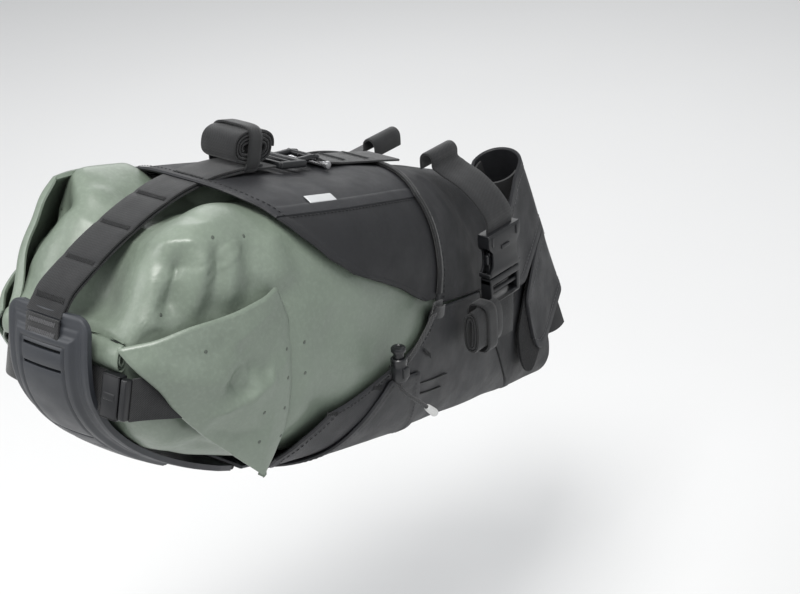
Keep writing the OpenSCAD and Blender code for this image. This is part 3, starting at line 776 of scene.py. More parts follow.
def dot_tree():
    """Small flat dots laid on every point of the input, square to its stored facing."""
    if "Weld dots" in bpy.data.node_groups:
        return bpy.data.node_groups["Weld dots"]
    tree = tree_of(
        "Weld dots",
        [("Radius", "NodeSocketFloat", 0.0012), ("Height", "NodeSocketFloat", 0.0004),
         ("Material", "NodeSocketMaterial", None)],
    )
    new, link = tree.nodes.new, tree.links.new
    given, result = new("NodeGroupInput"), new("NodeGroupOutput")
    facing = new("GeometryNodeInputNamedAttribute")
    facing.data_type = "FLOAT_VECTOR"
    facing.inputs["Name"].default_value = "facing"
    turn = new("FunctionNodeAlignRotationToVector")
    turn.axis = "Z"
    dot = new("GeometryNodeMeshUVSphere")
    dot.inputs["Segments"].default_value = 12
    dot.inputs["Rings"].default_value = 6
    dot.inputs["Radius"].default_value = 1.0
    size = new("ShaderNodeCombineXYZ")
    shaped = new("GeometryNodeTransform")
    lay = new("GeometryNodeInstanceOnPoints")
    real = new("GeometryNodeRealizeInstances")
    paint = new("GeometryNodeSetMaterial")
    link(facing.outputs["Attribute"], turn.inputs["Vector"])
    link(given.outputs["Radius"], size.inputs["X"])
    link(given.outputs["Radius"], size.inputs["Y"])
    link(given.outputs["Height"], size.inputs["Z"])
    link(dot.outputs["Mesh"], shaped.inputs["Geometry"])
    link(size.outputs["Vector"], shaped.inputs["Scale"])
    link(given.outputs["Geometry"], lay.inputs["Points"])
    link(shaped.outputs["Geometry"], lay.inputs["Instance"])
    link(turn.outputs["Rotation"], lay.inputs["Rotation"])
    link(lay.outputs["Instances"], real.inputs["Geometry"])
    link(real.outputs["Geometry"], paint.inputs["Geometry"])
    link(given.outputs["Material"], paint.inputs["Material"])
    link(paint.outputs["Geometry"], result.inputs["Geometry"])
    return tree


def run_tree(name, tree, mesh, values):
    """Runs a tree on a mesh and keeps the result as a plain mesh object."""
    guide = bpy.data.objects.new(name + "_guide", mesh)
    bpy.context.scene.collection.objects.link(guide)
    modifier = guide.modifiers.new("Rows", "NODES")
    modifier.node_group = tree
    for item in tree.interface.items_tree:
        if item.item_type == "SOCKET" and item.in_out == "INPUT" and item.name in values:
            modifier[item.identifier] = values[item.name]
    graph = bpy.context.evaluated_depsgraph_get()
    made = bpy.data.meshes.new_from_object(guide.evaluated_get(graph))
    made.name = name
    made.shade_smooth()
    guide.modifiers.remove(modifier)
    bpy.data.objects.remove(guide)
    piece = bpy.data.objects.new(name, made)
    bpy.context.scene.collection.objects.link(piece)
    if not len(made.vertices):
        raise RuntimeError(f"{name} came out empty")
    return piece


def stitches(name, rows, key="thread", pitch=0.0032, length=0.0025, thick=0.00055):
    """Stitch rows along lines of points in metres in the object's frame."""
    points, edges = [], []
    for row in rows:
        first = len(points)
        points += [tuple(p) for p in row]
        edges += [(first + i, first + i + 1) for i in range(len(row) - 1)]
    mesh = bpy.data.meshes.new(name)
    mesh.from_pydata(points, edges, [])
    values = {"Pitch": pitch, "Length": length, "Thickness": thick, "Material": material(key)}
    return run_tree(name, stitch_tree(), mesh, values)


def bartack(centre, along, across, length, width, passes=7):
    """Zigzag of close stitches: rows of points in metres."""
    c, a, b = (np.asarray(v, float) for v in (centre, along, across))
    t = np.linspace(-0.5, 0.5, passes * 2)
    zig = np.where(np.arange(len(t)) % 2, 0.5, -0.5)
    return c + t[:, None] * a * length + zig[:, None] * b * width


# Sizes and colours that a user may change ----


class SeatPackFinish(bpy.types.PropertyGroup):
    """Colours of the seat pack"""

    bag_colour: bpy.props.FloatVectorProperty(
        name="Dry bag", description="Colour of the coated fabric", subtype="COLOR", size=3, min=0, max=1,
        default=(0.166, 0.202, 0.162),
    )
    laminate_colour: bpy.props.FloatVectorProperty(
        name="Holster", description="Colour of the holster's laminate", subtype="COLOR", size=3, min=0, max=1,
        default=(0.0155, 0.0160, 0.0185),
    )
    pad_colour: bpy.props.FloatVectorProperty(
        name="Rear pad", description="Colour of the moulded pad", subtype="COLOR", size=3, min=0, max=1,
        default=(0.028, 0.031, 0.037),
    )
    webbing_colour: bpy.props.FloatVectorProperty(
        name="Webbing", description="Colour of the webbing", subtype="COLOR", size=3, min=0, max=1,
        default=(0.0056, 0.006, 0.0070),
    )
    plastic_colour: bpy.props.FloatVectorProperty(
        name="Buckles", description="Colour of the buckles", subtype="COLOR", size=3, min=0, max=1,
        default=(0.0095, 0.010, 0.0115),
    )


class SeatPackSizes(bpy.types.PropertyGroup):
    """Sizes of the seat pack's soft pieces"""

    crease_depth: bpy.props.FloatProperty(
        name="Crease depth", description="How deep the dry bag's folds are, as a share of the full fold", default=1.0,
        min=0, max=1.5, subtype="FACTOR",
    )
    crinkle_height: bpy.props.FloatProperty(
        name="Crinkle", description="Height of the fabric's small buckles, in millimetres", default=0.16, min=0, max=2,
    )
    fabric_thickness: bpy.props.FloatProperty(
        name="Ear thickness", description="Thickness of a folded ear of the dry bag", default=0.0014, min=0.0005,
        max=0.004, unit="LENGTH",
    )
    laminate_thickness: bpy.props.FloatProperty(
        name="Laminate", description="Thickness of the holster's laminate", default=0.0014, min=0.0008, max=0.003,
        unit="LENGTH",
    )
    webbing_width: bpy.props.FloatProperty(
        name="Webbing width", description="Width of the webbing", default=0.025, min=0.015, max=0.03, unit="LENGTH",
    )
    webbing_thickness: bpy.props.FloatProperty(
        name="Webbing thickness", description="Thickness of one layer of webbing", default=0.0015, min=0.001,
        max=0.003, unit="LENGTH",
    )
    stitch_pitch: bpy.props.FloatProperty(
        name="Stitch pitch", description="Distance from stitch to stitch", default=0.0032, min=0.0015, max=0.006,
        unit="LENGTH",
    )


# Stage ----


class SEATPACK_OT_stage(bpy.types.Operator):
    """Add the floor, the soft lights and the camera"""

    bl_idname = "seatpack.stage"
    bl_label = "Stage"

    def execute(self, context):
        scene = context.scene
        heading, down, roll = math.radians(39.31), math.radians(25.88), math.radians(-3.23)
        view = Vector((math.cos(heading) * math.cos(down), math.sin(heading) * math.cos(down), -math.sin(down)))
        side = view.cross(UP).normalized()
        top = side.cross(view)
        right = side * math.cos(roll) + top * math.sin(roll)
        above = top * math.cos(roll) - side * math.sin(roll)
        data = bpy.data.cameras.new("Camera")
        data.lens, data.sensor_width, data.clip_end = 98.38, 36, 20
        camera = bpy.data.objects.new("Camera", data)
        camera.matrix_world = Matrix.Translation((-1.0791, -0.7767, 0.6109)) @ Matrix(
            ((right.x, above.x, -view.x, 0), (right.y, above.y, -view.y, 0), (right.z, above.z, -view.z, 0),
                (0, 0, 0, 1))
        )
        scene.collection.objects.link(camera)
        scene.camera = camera
        floor = make(
            "studio_floor",
            [(-6, -6, -0.27), (6, -6, -0.27), (6, 6, -0.27), (-6, 6, -0.27)],
            [(0, 1, 2, 3)], material("floor"), recalc=False,
        )
        for name, energy, size, where, target, colour in (
            ("Key", 17, 0.55, (-0.75, -0.25, 1.25), (-0.25, 0, 0.02), (1.0, 0.99, 0.97)),
            ("Fill", 3.0, 1.2, (-0.35, -1.35, 0.45), (-0.25, 0, 0.0), (0.96, 0.98, 1.0)),
            ("Rear", 8, 0.8, (-1.25, 0.75, 0.75), (-0.3, 0, 0.03), (1.0, 1.0, 1.0)),
            ("Back", 6, 1.0, (0.75, 0.7, 0.85), (-0.1, 0, 0.03), (1.0, 1.0, 1.0)),
        ):
            lamp = bpy.data.lights.new(name, "AREA")
            lamp.shape, lamp.size, lamp.energy, lamp.color = "SQUARE", size, energy, colour
            light = bpy.data.objects.new(name, lamp)
            light.location = where
            light.rotation_euler = (Vector(target) - Vector(where)).to_track_quat("-Z", "Y").to_euler()
            scene.collection.objects.link(light)
        world = bpy.data.worlds.new("Soft studio")
        world.use_nodes = True
        world.node_tree.nodes["Background"].inputs[0].default_value = (0.93, 0.95, 0.97, 1)
        world.node_tree.nodes["Background"].inputs[1].default_value = 0.5
        scene.world = world
        scene.view_settings.view_transform = "Standard"
        return {"FINISHED"}


# Drawcord ----

CORD_D = 2.6
CORD_ROUTE = [(-222, -77.4, 25), (-229, -79.4, 19.2), (-237, -81.2, 12.4), (-245.4, -82.6, 5.2),
    (-252.4, -83, -0.6)]
TAIL_ROUTE = [(-258, -83, -9.8), (-255, -84, -14), (-248.5, -85, -18.6), (-239, -85.6, -23.4),
    (-230, -85.6, -28.4)]
LOCK_AT = (-258, -83, -2)
ON_LOCK = ON_BAG @ Matrix.Translation([v * MM for v in LOCK_AT]) @ Matrix.Rotation(-TILT, 4, "Y")


class SEATPACK_OT_drawcord(bpy.types.Operator):
    """Add the elastic drawcord, its tail, the cord lock and the cord's grey end"""

    bl_idname = "seatpack.drawcord"
    bl_label = "Drawcord"

    def execute(self, context):
        upper = smooth_path(CORD_ROUTE, 26)
        lower = smooth_path(TAIL_ROUTE, 24)
        run = Parts().tube(upper, CORD_D / 2).piece("Drawcord", material("cord"))
        tail = Parts().tube(lower, CORD_D / 2).piece("Drawcord_tail", material("cord"))
        for piece in (run, tail):
            piece.data.uv_layers[0].data.foreach_set(
                "uv",
                (np.array([d.uv[:] for d in piece.data.uv_layers[0].data]) * [1,
                    MM]).astype(np.float32).ravel(),
            )
        direction = lower[-1] - lower[-2]
        direction /= np.linalg.norm(direction)
        end_at = lower[-1]
        grip = smooth_path([end_at - direction * 0.4, end_at + direction * 5, end_at + direction * 11.2], 16)
        swell = np.interp(np.linspace(0, 1, 16), [0, 0.08, 0.2, 0.85, 0.96, 1],
            [0.6, 0.8, 0.86, 1.0, 0.86, 0.4])
        end = Parts().tube(grip, 2.5, 20, swell).piece("Cord_end", material("grey"))
        ridden(end, "holster", "grey_plastic", "cord_end")
        ridden(run, "holster", "elastic_cord", "drawcord")
        ridden(tail, "holster", "elastic_cord", "drawcord_tail")
        barrel = [(3.3, -5.2), (3.3, 7.0), (4.2, 7.2), (4.75, 6.6), (4.8, 4.4), (4.4, 3.8), (4.4, 1.2),
            (4.8, 0.6),
                  (4.8, -5.9), (4.2, -6.9), (3.0, -7.1), (0.02, -7.1), (0.02, -5.2), (3.3, -5.2)]
        body = Parts().lathe(barrel)
        for s in (-1, 1):
            body.block((0, s * 4.7, -1.6), (5.2, 1.5, 6.4), 0.5)
        ridden(body.piece("Cord_lock_body", material("plastic"), ON_LOCK), "holster", "buckle_plastic",
            "cord_lock_body")
        button = [(0.02, 1.0), (3.0, 1.0), (3.0, 10.7), (4.0, 10.9), (4.3, 11.3), (4.3, 13.0), (3.8, 13.7),
            (2.4, 14.0),
                  (2.0, 13.6), (0.02, 13.5)]
        ridden(
            Parts().lathe(button).piece("Cord_lock_button", material("plastic"), ON_LOCK),
            "cord_lock_button", "buckle_plastic", "cord_lock_plunger",
        )
        a = np.linspace(0, 2 * math.pi * 5, 120)
        coil = np.stack([2.35 * np.cos(a), 2.35 * np.sin(a), -4.85 + 5.2 * a / a[-1]], -1)
        spring = Parts().tube(coil, 0.32, 8).piece("Cord_lock_spring", material("steel"), ON_LOCK)
        ridden(spring, "holster", "steel", "cord_lock_spring")
        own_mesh(spring)
        path = [(-211, -73.6, 27), (-216, -74.8, 27.4), (-221, -75.6, 27), (-224.2, -77.6, 26),
            (-221, -78.4, 25),
                (-215, -77.4, 24.6), (-211, -75.8, 25)]
        loop = Parts().add(*tape(path, (0, 0, 1), 7, 0.9, 40)).piece("Cord_loop", material("webbing"))
        fix_uv(loop)
        ridden(loop, "holster", "webbing", "cord_loop")
        return {"FINISHED"}


def fix_uv(piece):
    """UVs were laid in millimetres; the materials read metres."""
    layer = piece.data.uv_layers[0]
    uv = np.zeros(len(layer.data) * 2, np.float32)
    layer.data.foreach_get("uv", uv)
    layer.data.foreach_set("uv", uv * MM)
    return piece


def strap_piece(name, paths, across, width, thick, key="webbing", matrix=ON_BAG, mirror=False, count=80):
    parts = Parts()
    for path in paths:
        parts.add(*tape(path, across, width, thick, count))
    return fix_uv(parts.piece(name, material(key), matrix, mirror=mirror, sharp=50))


# Dry bag ----

# Free edges of the folded ear on the right, and the line where it runs into the body
EAR_TOP = [(-446, -44, 24), (-432, -57.5, 30), (-416, -66, 37), (-396, -72, 42), (-376, -76, 49),
    (-363, -77.5, 54)]
EAR_REAR = [(-446, -44, 24), (-441, -53, 15), (-428, -59, 3), (-416, -60, -9), (-402, -61.5, -20),
            (-377, -64, -36), (-348, -67, -54)]
EAR_MERGE = [(-363, -77.5, 54), (-347, -76, 32), (-338, -74.6, 6), (-336, -72.5, -20), (-341, -69, -40),
             (-348, -67, -54)]
EAR_FOLDS = [
    ([(-394, -70, 9), (-385, -70, 3), (-374, -70, 1)], -6.0, 4.5, 1.1, True),
    ([(-388, -72, 30), (-380, -72, 16), (-392, -70, 8)], -5.0, 5.0, 1.1, True),
    ([(-381, -72, 14), (-362, -74, 10)], -3.6, 6, 1.3, True),
    ([(-404, -66, -14), (-382, -70, -5), (-358, -74, 7)], 3.4, 6, 1.1, True),
    ([(-432, -58, 20), (-408, -66, 25), (-386, -71, 31)], -3.4, 6, 1.3, True),
    ([(-428, -60, 12), (-404, -66, 8), (-394, -70, 7)], 2.4, 6, 1.3, True),
    ([(-398, -64, -18), (-380, -68, -24), (-356, -72, -24)], -2.8, 8, 1.4, True),
    ([(-372, -72, 40), (-362, -72, 24), (-352, -72, 14)], -3.0, 7, 1.2, True),
]
# The standing horn on the left: its top edge, free rim, lower edge and the line where it joins the body
HORN_TOP = [(-366, 44, 96), (-384, 48, 95.5), (-399, 50, 94), (-411, 51, 91)]
HORN_RIM = [(-411, 51, 91), (-419, 52.5, 80), (-423.5, 52, 66), (-428, 50.5, 52), (-434.5, 47, 37),
    (-443, 43, 21)]
HORN_LOW = [(-424, 60, 0), (-432, 56, 5), (-438, 50, 11), (-443, 43, 21)]
HORN_JOIN = [(-366, 44, 96), (-366, 60, 84), (-370, 69, 62), (-382, 69, 34), (-400, 66, 12), (-424, 60, 0)]


def coons(top, left, right, n, m):
    """Patch between a top edge and two side edges that meet in a tip below. Rows run down."""
    t = smooth_path(top, n)
    l = smooth_path(left, m)
    r = smooth_path(right, m)
    u = np.linspace(0, 1, n)[None, :, None]
    v = np.linspace(0, 1, m)[:, None, None]
    sides = (1 - u) * l[:, None] + u * r[:, None]
    ends = (1 - v) * t[None] + v * l[-1][None, None]
    corners = (1 - v) * ((1 - u) * t[0] + u * t[-1]) + v * l[-1]
    return sides + ends - corners


def four_sided(top, low, left, right, n, m):
    """Patch between four edges; top and low run from left to right, left and right run down."""
    t, b, l, r = smooth_path(top, n), smooth_path(low, n), smooth_path(left, m), smooth_path(right, m)
    u = np.linspace(0, 1, n)[None, :, None]
    v = np.linspace(0, 1, m)[:, None, None]
    corners = (1 - v) * ((1 - u) * t[0] + u * t[-1]) + v * ((1 - u) * b[0] + u * b[-1])
    return (1 - u) * l[:, None] + u * r[:, None] + (1 - v) * t[None] + v * b[None] - corners


def folded_sheet(name, points, faces):
    """A folded sheet of coated fabric that lies on the dry bag."""
    piece = make(name, place(points), faces, material("sage"), sharp=60)
    ridden(piece, "dry_bag", "coated_fabric")


class SEATPACK_OT_dry_bag(bpy.types.Operator):
    """Add the folded dry bag, its ears, its rolled closure and its weld marks"""

    bl_idname = "seatpack.dry_bag"
    bl_label = "Dry bag"

    def body(self, sizes):
        nx, na = 118, 168
        share = np.linspace(0, 1, nx)
        x = BAG_FRONT + (-438 - BAG_FRONT) * (1 - (1 - share) ** 1.25)
        angle = np.linspace(0, 360, na, endpoint=False)
        p = surface(x[:, None], angle[None])
        wrapped = np.concatenate([p[:, -2:], p, p[:, :2]], 1)
        centre = p.mean(1, keepdims=True)
        normal = grid_normals(wrapped, wrapped - centre)[:, 2:-2]
        flat = p.reshape(-1, 3)
        lift = fold_height(flat, sizes.crease_depth) + crinkle(flat, sizes.crinkle_height)
        inside_holster = np.clip((x + 205) / 40, 0, 1)[:, None] * np.ones((1, na))
        lift = lift.reshape(nx, na) * (1 - inside_holster) - 0.35
        low = np.sin(np.radians(angle))[None] < -0.5
        lift = np.where(low & (x[:, None] > -330), np.minimum(lift, 0.6), lift)
        p = p + normal * lift[..., None]
        rings = [p]
        last, middle = p[-1], p[-1].mean(0)
        for share_in, back in ((0.93, 1.6), (0.75, 2.8), (0.4, 3.4)):
            ring = middle + (last - middle) * [1, share_in, share_in]
            ring[:, 0] = last[:, 0] * 0.3 + middle[0] * 0.7 - back
            rings.append(ring[None])
        front, front_middle = p[0], p[0].mean(0)
        caps = [front_middle + (front - front_middle) * 0.5]
        grid = np.concatenate([np.array(caps)] + rings)
        n = len(grid)
        points = np.concatenate([grid.reshape(-1, 3), [front_middle], [middle - [3.4, 0, 0]]])
        faces = grid_faces(n, na, close_v=True).tolist()
        k = np.arange(na)
        faces += np.stack([np.full(na, n * na), (k + 1) % na, k], -1).tolist()
        base = (n - 1) * na
        faces += np.stack([np.full(na, n * na + 1), base + k, base + (k + 1) % na], -1).tolist()
        held = np.clip((points[:, 0] + 268) / 30, 0, 1)
        held = np.maximum(held, np.clip((-434 - points[:, 0]) / 3, 0, 1))
        recess = FOLDS[HORN_RECESS][0]
        for line in (EAR_TOP, EAR_REAR, FOLDS[0][0], recess):
            for flip in (1,) if line is recess else (1, -1):
                d, _ = path_distance(points, np.array(line) * [1, flip, 1])
                held = np.maximum(held, 0.9 * np.clip(1.5 - d / 5, 0, 1))
        under = (np.abs(points[:, 1]) < 66) & (points[:, 2] < -44)
        held = np.maximum(held, 0.8 * under)
        slack = np.clip((-points[:, 0] - 290) / 70, 0, 1)
        points = settle("Bag_cloth", points, faces, held, slack)
        return points, faces

    def ear(self, top, rear, merge, folds, sizes, flip):
        mirror = np.array([1, -1 if flip else 1, 1])
        p = coons(top, rear, merge, 70, 90)
        m, n = p.shape[:2]
        u = np.linspace(0, 1, n)[None, :]
        v = np.linspace(0, 1, m)[:, None]
        flat = p.reshape(-1, 3)
        # Bulge over the body between the edges, and sink into it along the merging line
        belly = (np.sin(np.pi * np.clip(u * 0.92 + 0.08, 0, 1)) * np.sin(np.pi * v * 0.96 + 0.04)) * 4.0
        lift = belly.ravel()
        for line, height, width, power, _ in folds:
            d, along = path_distance(flat, line)
            lift = lift + height * np.exp(-((d / width) ** power)) * fade_ends(along) * sizes.crease_depth
        lift = lift + crinkle(flat * mirror, sizes.crinkle_height * 0.8)
        sink = np.clip((u - 0.86) / 0.14, 0, 1) ** 1.5 * 3.4 * np.ones_like(v)
        y = flat[:, 1] - lift + sink.ravel()
        p = np.stack([flat[:, 0], y, flat[:, 2]], -1)
        edge = np.minimum(np.minimum(u, 1 - u) + 0 * v, v + 0 * u).ravel()
        held = np.clip(1.15 - edge / 0.1, 0, 1)
        p = settle("Ear_cloth", p, grid_faces(m, n), held, 1 - held, 0.07, 0, 14, 4.0, 0.25)
        p = p.reshape(m, n, 3) * mirror
        normal = grid_normals(p, np.array([0, -1.0, 0]) * mirror)
        t = sizes.fabric_thickness / MM
        # The free edges are folded double, so they are thicker
        edge = np.minimum(u + 0 * v, v + 0 * u)
        swell = 1 + 1.1 * np.exp(-((edge / 0.035) ** 2))
        return slab(p, p - normal * (t * swell)[..., None])

    def execute(self, context):
        sizes = context.scene.seat_pack_sizes
        points, faces = self.body(sizes)
        bag = self.finer(make("Dry_bag", place(points), faces, material("sage"), sharp=0))
        ridden(bag, "dry_bag", "coated_fabric", "dry_bag_shell")
        points, faces = self.ear(EAR_TOP, EAR_REAR, EAR_MERGE, EAR_FOLDS, sizes, False)
        folded_sheet("Ear_right", points, faces)
        self.horn(sizes)
        points, faces = self.ear(EAR_TOP, EAR_REAR, EAR_MERGE, EAR_FOLDS[2:], sizes, True)
        folded_sheet("Ear_left", points, faces)
        self.roll()
        self.dots()
        return {"FINISHED"}

    def horn(self, sizes):
        """The corner of the mouth that stands up on the left, with its rim folded over."""
        p = four_sided(HORN_TOP, HORN_LOW, HORN_JOIN, HORN_RIM, 56, 80)
        m, n = p.shape[:2]
        u = np.linspace(0, 1, n)[None, :]
        v = np.linspace(0, 1, m)[:, None]
        normal = grid_normals(p, np.array([0, 1.0, 0]))
        flat = p.reshape(-1, 3)
        lift = 2.6 * np.sin(np.pi * u) * np.sin(np.pi * v)
        lift = lift + 1.6 * np.sin(9 * v + 3 * u) * np.sin(np.pi * v) * u
        lift = lift + crinkle(flat, sizes.crinkle_height).reshape(m, n)
        lift = lift - 3.2 * np.clip((0.16 - u) / 0.16, 0, 1) ** 1.5 - 1.5 * np.clip((v - 0.9) / 0.1, 0, 1)
        # The rim curls inward where it is folded over
        lift = lift - 1.8 * np.clip((u - 0.93) / 0.07, 0, 1) ** 2
        p = p + normal * lift[..., None]
        t = sizes.fabric_thickness / MM
        edge = np.minimum(1 - u + 0 * v, v + 0 * u)
        swell = 1 + 1.6 * np.exp(-((edge / 0.05) ** 2))
        points, faces = slab(p, p - normal * (t * swell)[..., None])
        folded_sheet("Horn_left", points, faces)

    def finer(self, bag):
        """One subdivision, then the welded seam tapes, which are finer than the cloth's grid."""
        modifier = bag.modifiers.new("Finer", "SUBSURF")
        modifier.levels = modifier.render_levels = 1
        mesh = bpy.data.meshes.new_from_object(bag.evaluated_get(bpy.context.evaluated_depsgraph_get()))
        bag.modifiers.remove(modifier)
        bag.data = mesh
        co = np.zeros(len(mesh.vertices) * 3)
        mesh.vertices.foreach_get("co", co)
        normal = np.zeros(len(mesh.vertices) * 3)
        mesh.vertex_normals.foreach_get("vector", normal)
        co, normal = co.reshape(-1, 3), normal.reshape(-1, 3)
        back = np.array(ON_BAG.inverted())
        flat = (co @ back[:3, :3].T + back[:3, 3]) / MM
        co += normal * seam_height(flat)[:, None] * MM
        mesh.vertices.foreach_set("co", co.ravel())
        mesh.update()
        return bag

    def roll(self):
        """The mouth of the bag, rolled flat three times round its stiffener."""
        turns, ny = 3.2, 40
        a = np.linspace(0, 2 * math.pi * turns, 150)
        reach = np.linspace(0.42, 1.0, len(a))
        lie = np.stack([np.cos(a) * 5.6 * reach, np.sin(a) * 8.2 * reach], -1)
        y = np.linspace(-41, 41, ny)
        sag = 1.2 * np.sin(np.abs(y) / 41 * math.pi / 2) ** 2
        p = np.zeros((len(a), ny, 3))
        p[..., 0] = -441 + lie[:, None, 0] * (1 - 0.12 * (y / 41) ** 4) + 0.5 * np.sin(y / 7)[None]
        p[..., 1] = y[None] + 0.9 * np.sin(a / 2)[:, None] * (y / 41)[None] ** 3
        p[..., 2] = 20 + lie[:, None, 1] - sag[None] + 0.4 * np.sin(y / 5 + 1)[None]
        normal = grid_normals(p, p - np.array([-441, 0, 20]))
        points, faces = slab(p, p - normal * 0.9)
        piece = make("Rolled_closure", place(points), faces, material("sage"), sharp=50)
        ridden(piece, "dry_bag", "coated_fabric", "rolled_closure")

    def dots(self):
        bag = bpy.data.objects["Dry_bag"]
        ears = [bpy.data.objects["Ear_right"], bpy.data.objects["Ear_left"]]
        found, facing = [], []
        for dot in WELD_DOTS:
            aim = Vector(place([dot])[0])
            away = (aim - Vector(place([(dot[0], 0, 15)])[0])).normalized()
            best = None
            for piece in [bag] + ears:
                hit, where, normal, _ = piece.ray_cast(aim + away * 0.05, -away, distance=0.09)
                if hit and (best is None or (where - aim).dot(away) > (best[0] - aim).dot(away)):
                    best = (where, normal)
            if best:
                found.append(best[0][:])
                facing.append(best[1][:])
        mesh = bpy.data.meshes.new("Weld_dots")
        mesh.from_pydata(found, [], [])
        layer = mesh.attributes.new("facing", "FLOAT_VECTOR", "POINT")
        layer.data.foreach_set("vector", np.array(facing, np.float32).ravel())
        values = {"Radius": 0.0011, "Height": 0.00025, "Material": material("sage_dark")}
        ridden(run_tree("Weld_dots", dot_tree(), mesh, values), "dry_bag", "coated_fabric")


# Closure straps ----


class SEATPACK_OT_closure(bpy.types.Operator):
    """Add the roll closure's straps and its side-release buckle"""

    bl_idname = "seatpack.closure"
    bl_label = "Closure"

    def execute(self, context):
        sizes = context.scene.seat_pack_sizes
        z = -1.0
        width = 23
        right = [(-400, -61.2, z), (-407, -61.4, z), (-416, -59.2, z), (-428, -55, z), (-436, -52.6, z),
            (-442, -51.6, z)]
        left = [(-394, 66, z), (-402, 65.2, z), (-416, 59.5, z), (-428, 52.5, z), (-436.5, 44, z),
            (-440.5, 32, z),
                (-441, 10, z), (-441, -20, z), (-441.2, -34.4, z)]
        thick = sizes.webbing_thickness / MM * 0.93
        ridden(strap_piece("Closure_strap_right", [right], (0, 0, 1), width, thick), "dry_bag", "webbing",
            "closure_strap_right")
        ridden(strap_piece("Closure_strap_left", [left], (0, 0, 1), width, thick), "dry_bag", "webbing",
            "closure_strap_left")
        female = Parts()
        x = -444
        for s in (-1, 1):
            female.block((x + s * 2.3, -40.8, z), (1.4, 12, 24), 0.6)
            female.block((x, -40.8, z + s * 11.2), (6, 12, 1.6), 0.6)
        female.block((x, -35.6, z), (6, 1.6, 24), 0.6)
        female.block((x - 2.9, -40.8, z), (0.8, 8, 4), 0.35)
        ridden(female.piece("Closure_buckle_female", material("plastic")), "dry_bag", "buckle_plastic",
            "closure_buckle_female")
        male = Parts().block((x, -49.4, z), (5, 4.4, 22), 0.9)
        for s in (-1, 1):
            male.block((x, -43.4, z + s * 7), (2.2, 8.4, 3.2), 0.6)
        male.block((x, -44, z), (2.2, 7, 2.6), 0.6)
        ridden(male.piece("Closure_buckle_male", material("plastic")), "closure_clip", "buckle_plastic",
            "closure_buckle_male")
        return {"FINISHED"}


# Holster ----

GAP, SHEET = 2.6, 1.4
TOP_ROWS = [(53, -205, -348), (60, -201, -352), (68, -194, -358), (76, -187, -362), (84, -181, -364),
    (90, -178, -365)]
SIDE_ROWS = [(4, -206, -222), (6, -205, -236), (10, -204, -254), (15, -203, -280), (19, -203, -299),
    (27, -204, -318),
             (40, -205, -336), (52, -205.5, -347.5)]
LOWER_ROWS = [(1.4, -128.8, -211), (0, -127.8, -214), (-3, -126.8, -226), (-10, -122.4, -262),
    (-20, -117.6, -306),
              (-32, -113.4, -322), (-45, -108.4, -333), (-60, -104.2, -326), (-76, -101.4, -311), (-90,
                  -100.8, -308)]
COWL_ROWS = [(-89, -52, -99), (-76, -46, -99.5), (-60, -37, -102.5), (-45, -30, -106.5), (-32, -27, -111.5),
             (-20, -26, -115.5), (-10, -26, -120.5), (-3, -26, -125), (0, -26, -126.2), (1.8, -26, -127.2),
             (2.4, -26, -203.5), (12, -26, -201), (25, -26, -201.5), (40, -26, -202.5), (53, -26, -202.5),
             (68, -26, -192), (80, -26, -182), (90, -26, -176)]
PIPING_ROWS = [(5, -203, -207), (12, -200.5, -204.5), (25, -201, -205), (40, -202, -206), (53, -202, -206),
               (68, -191.5, -195.5), (80, -181.5, -185.5), (90, -175.5, -179.5)]
POCKET_ROWS = [(-12, -222, -254), (-20, -218, -264), (-32, -212, -276), (-46, -206, -286), (-60, -202, -296),
               (-72, -200, -304)]


def mirrored(rows, pivot=180):
    return [(pivot - a, f, r) for a, f, r in rows]


def dense(rows, count):
    """More rows between the given ones, so that the edge curves run smoothly."""
    rows = np.array(rows, float)
    t = np.r_[0, np.cumsum(np.maximum(np.abs(np.diff(rows[:, 0])), 0.6))]
    s = np.unique(np.r_[np.linspace(0, t[-1], count), t])
    return np.stack([np.interp(s, t, rows[:, k]) for k in range(3)], -1)


def skin_grid(rows, off, nx=40):
    rows = np.asarray(rows)
    share = np.linspace(0, 1, nx)
    x = rows[:, 1:2] + (rows[:, 2:3] - rows[:, 1:2]) * share[None]
    return surface(x, rows[:, :1], off, HOLSTER_GIRTH)


def panel(name, rows, key, nodes, o_in=GAP, o_out=GAP + SHEET, rim=None, wave=0.0, count=60, nx=48,
    body="holster",
          slot="laminate"):
    """A sheet of the holster, with a raised welded rim on the sides named in rim."""
    rows = dense(rows, count)
    outer, inner = skin_grid(rows, o_out, nx), skin_grid(rows, o_in, nx)
    normal = outer - inner
    normal /= np.linalg.norm(normal, axis=-1, keepdims=True)
    m, n = outer.shape[:2]
    lift = np.zeros((m, n))
    near = {
        "front": np.linalg.norm(outer - outer[:, :1], axis=-1),
        "rear": np.linalg.norm(outer - outer[:, -1:], axis=-1),
        "first": np.linalg.norm(outer - outer[:1], axis=-1),
        "last": np.linalg.norm(outer - outer[-1:], axis=-1),
    }
    for side in rim or ():
        d = near[side]
        lift = np.maximum(lift, 0.55 * np.clip((7.5 - d) / 1.2, 0, 1))
    if wave:
        x, y, z = outer.reshape(-1, 3).T
        buckle = np.sin(x / 17 + y / 23 + 1.6 * np.sin(z / 29)) * np.sin(z / 21 + x / 41)
        hold = np.clip(np.minimum.reduce([near[k] for k in near]) / 14, 0, 1)
        lift += wave * (buckle.reshape(m, n)) * hold
    points, faces = slab(outer + normal * lift[..., None], inner + normal * np.minimum(lift, 0)[..., None])
    return ridden(make(name, place(points), faces, material(key), sharp=45), body, slot, *nodes)


def edge_line(rows, side, off, inset, shift=0.0):
    """Line of points that runs inside a panel's front or rear edge, in metres."""
    rows = dense(rows, 90)
    x = rows[:, 1] - inset if side == "front" else rows[:, 2] + inset
    return place(surface(x, rows[:, 0] + shift, off, HOLSTER_GIRTH))


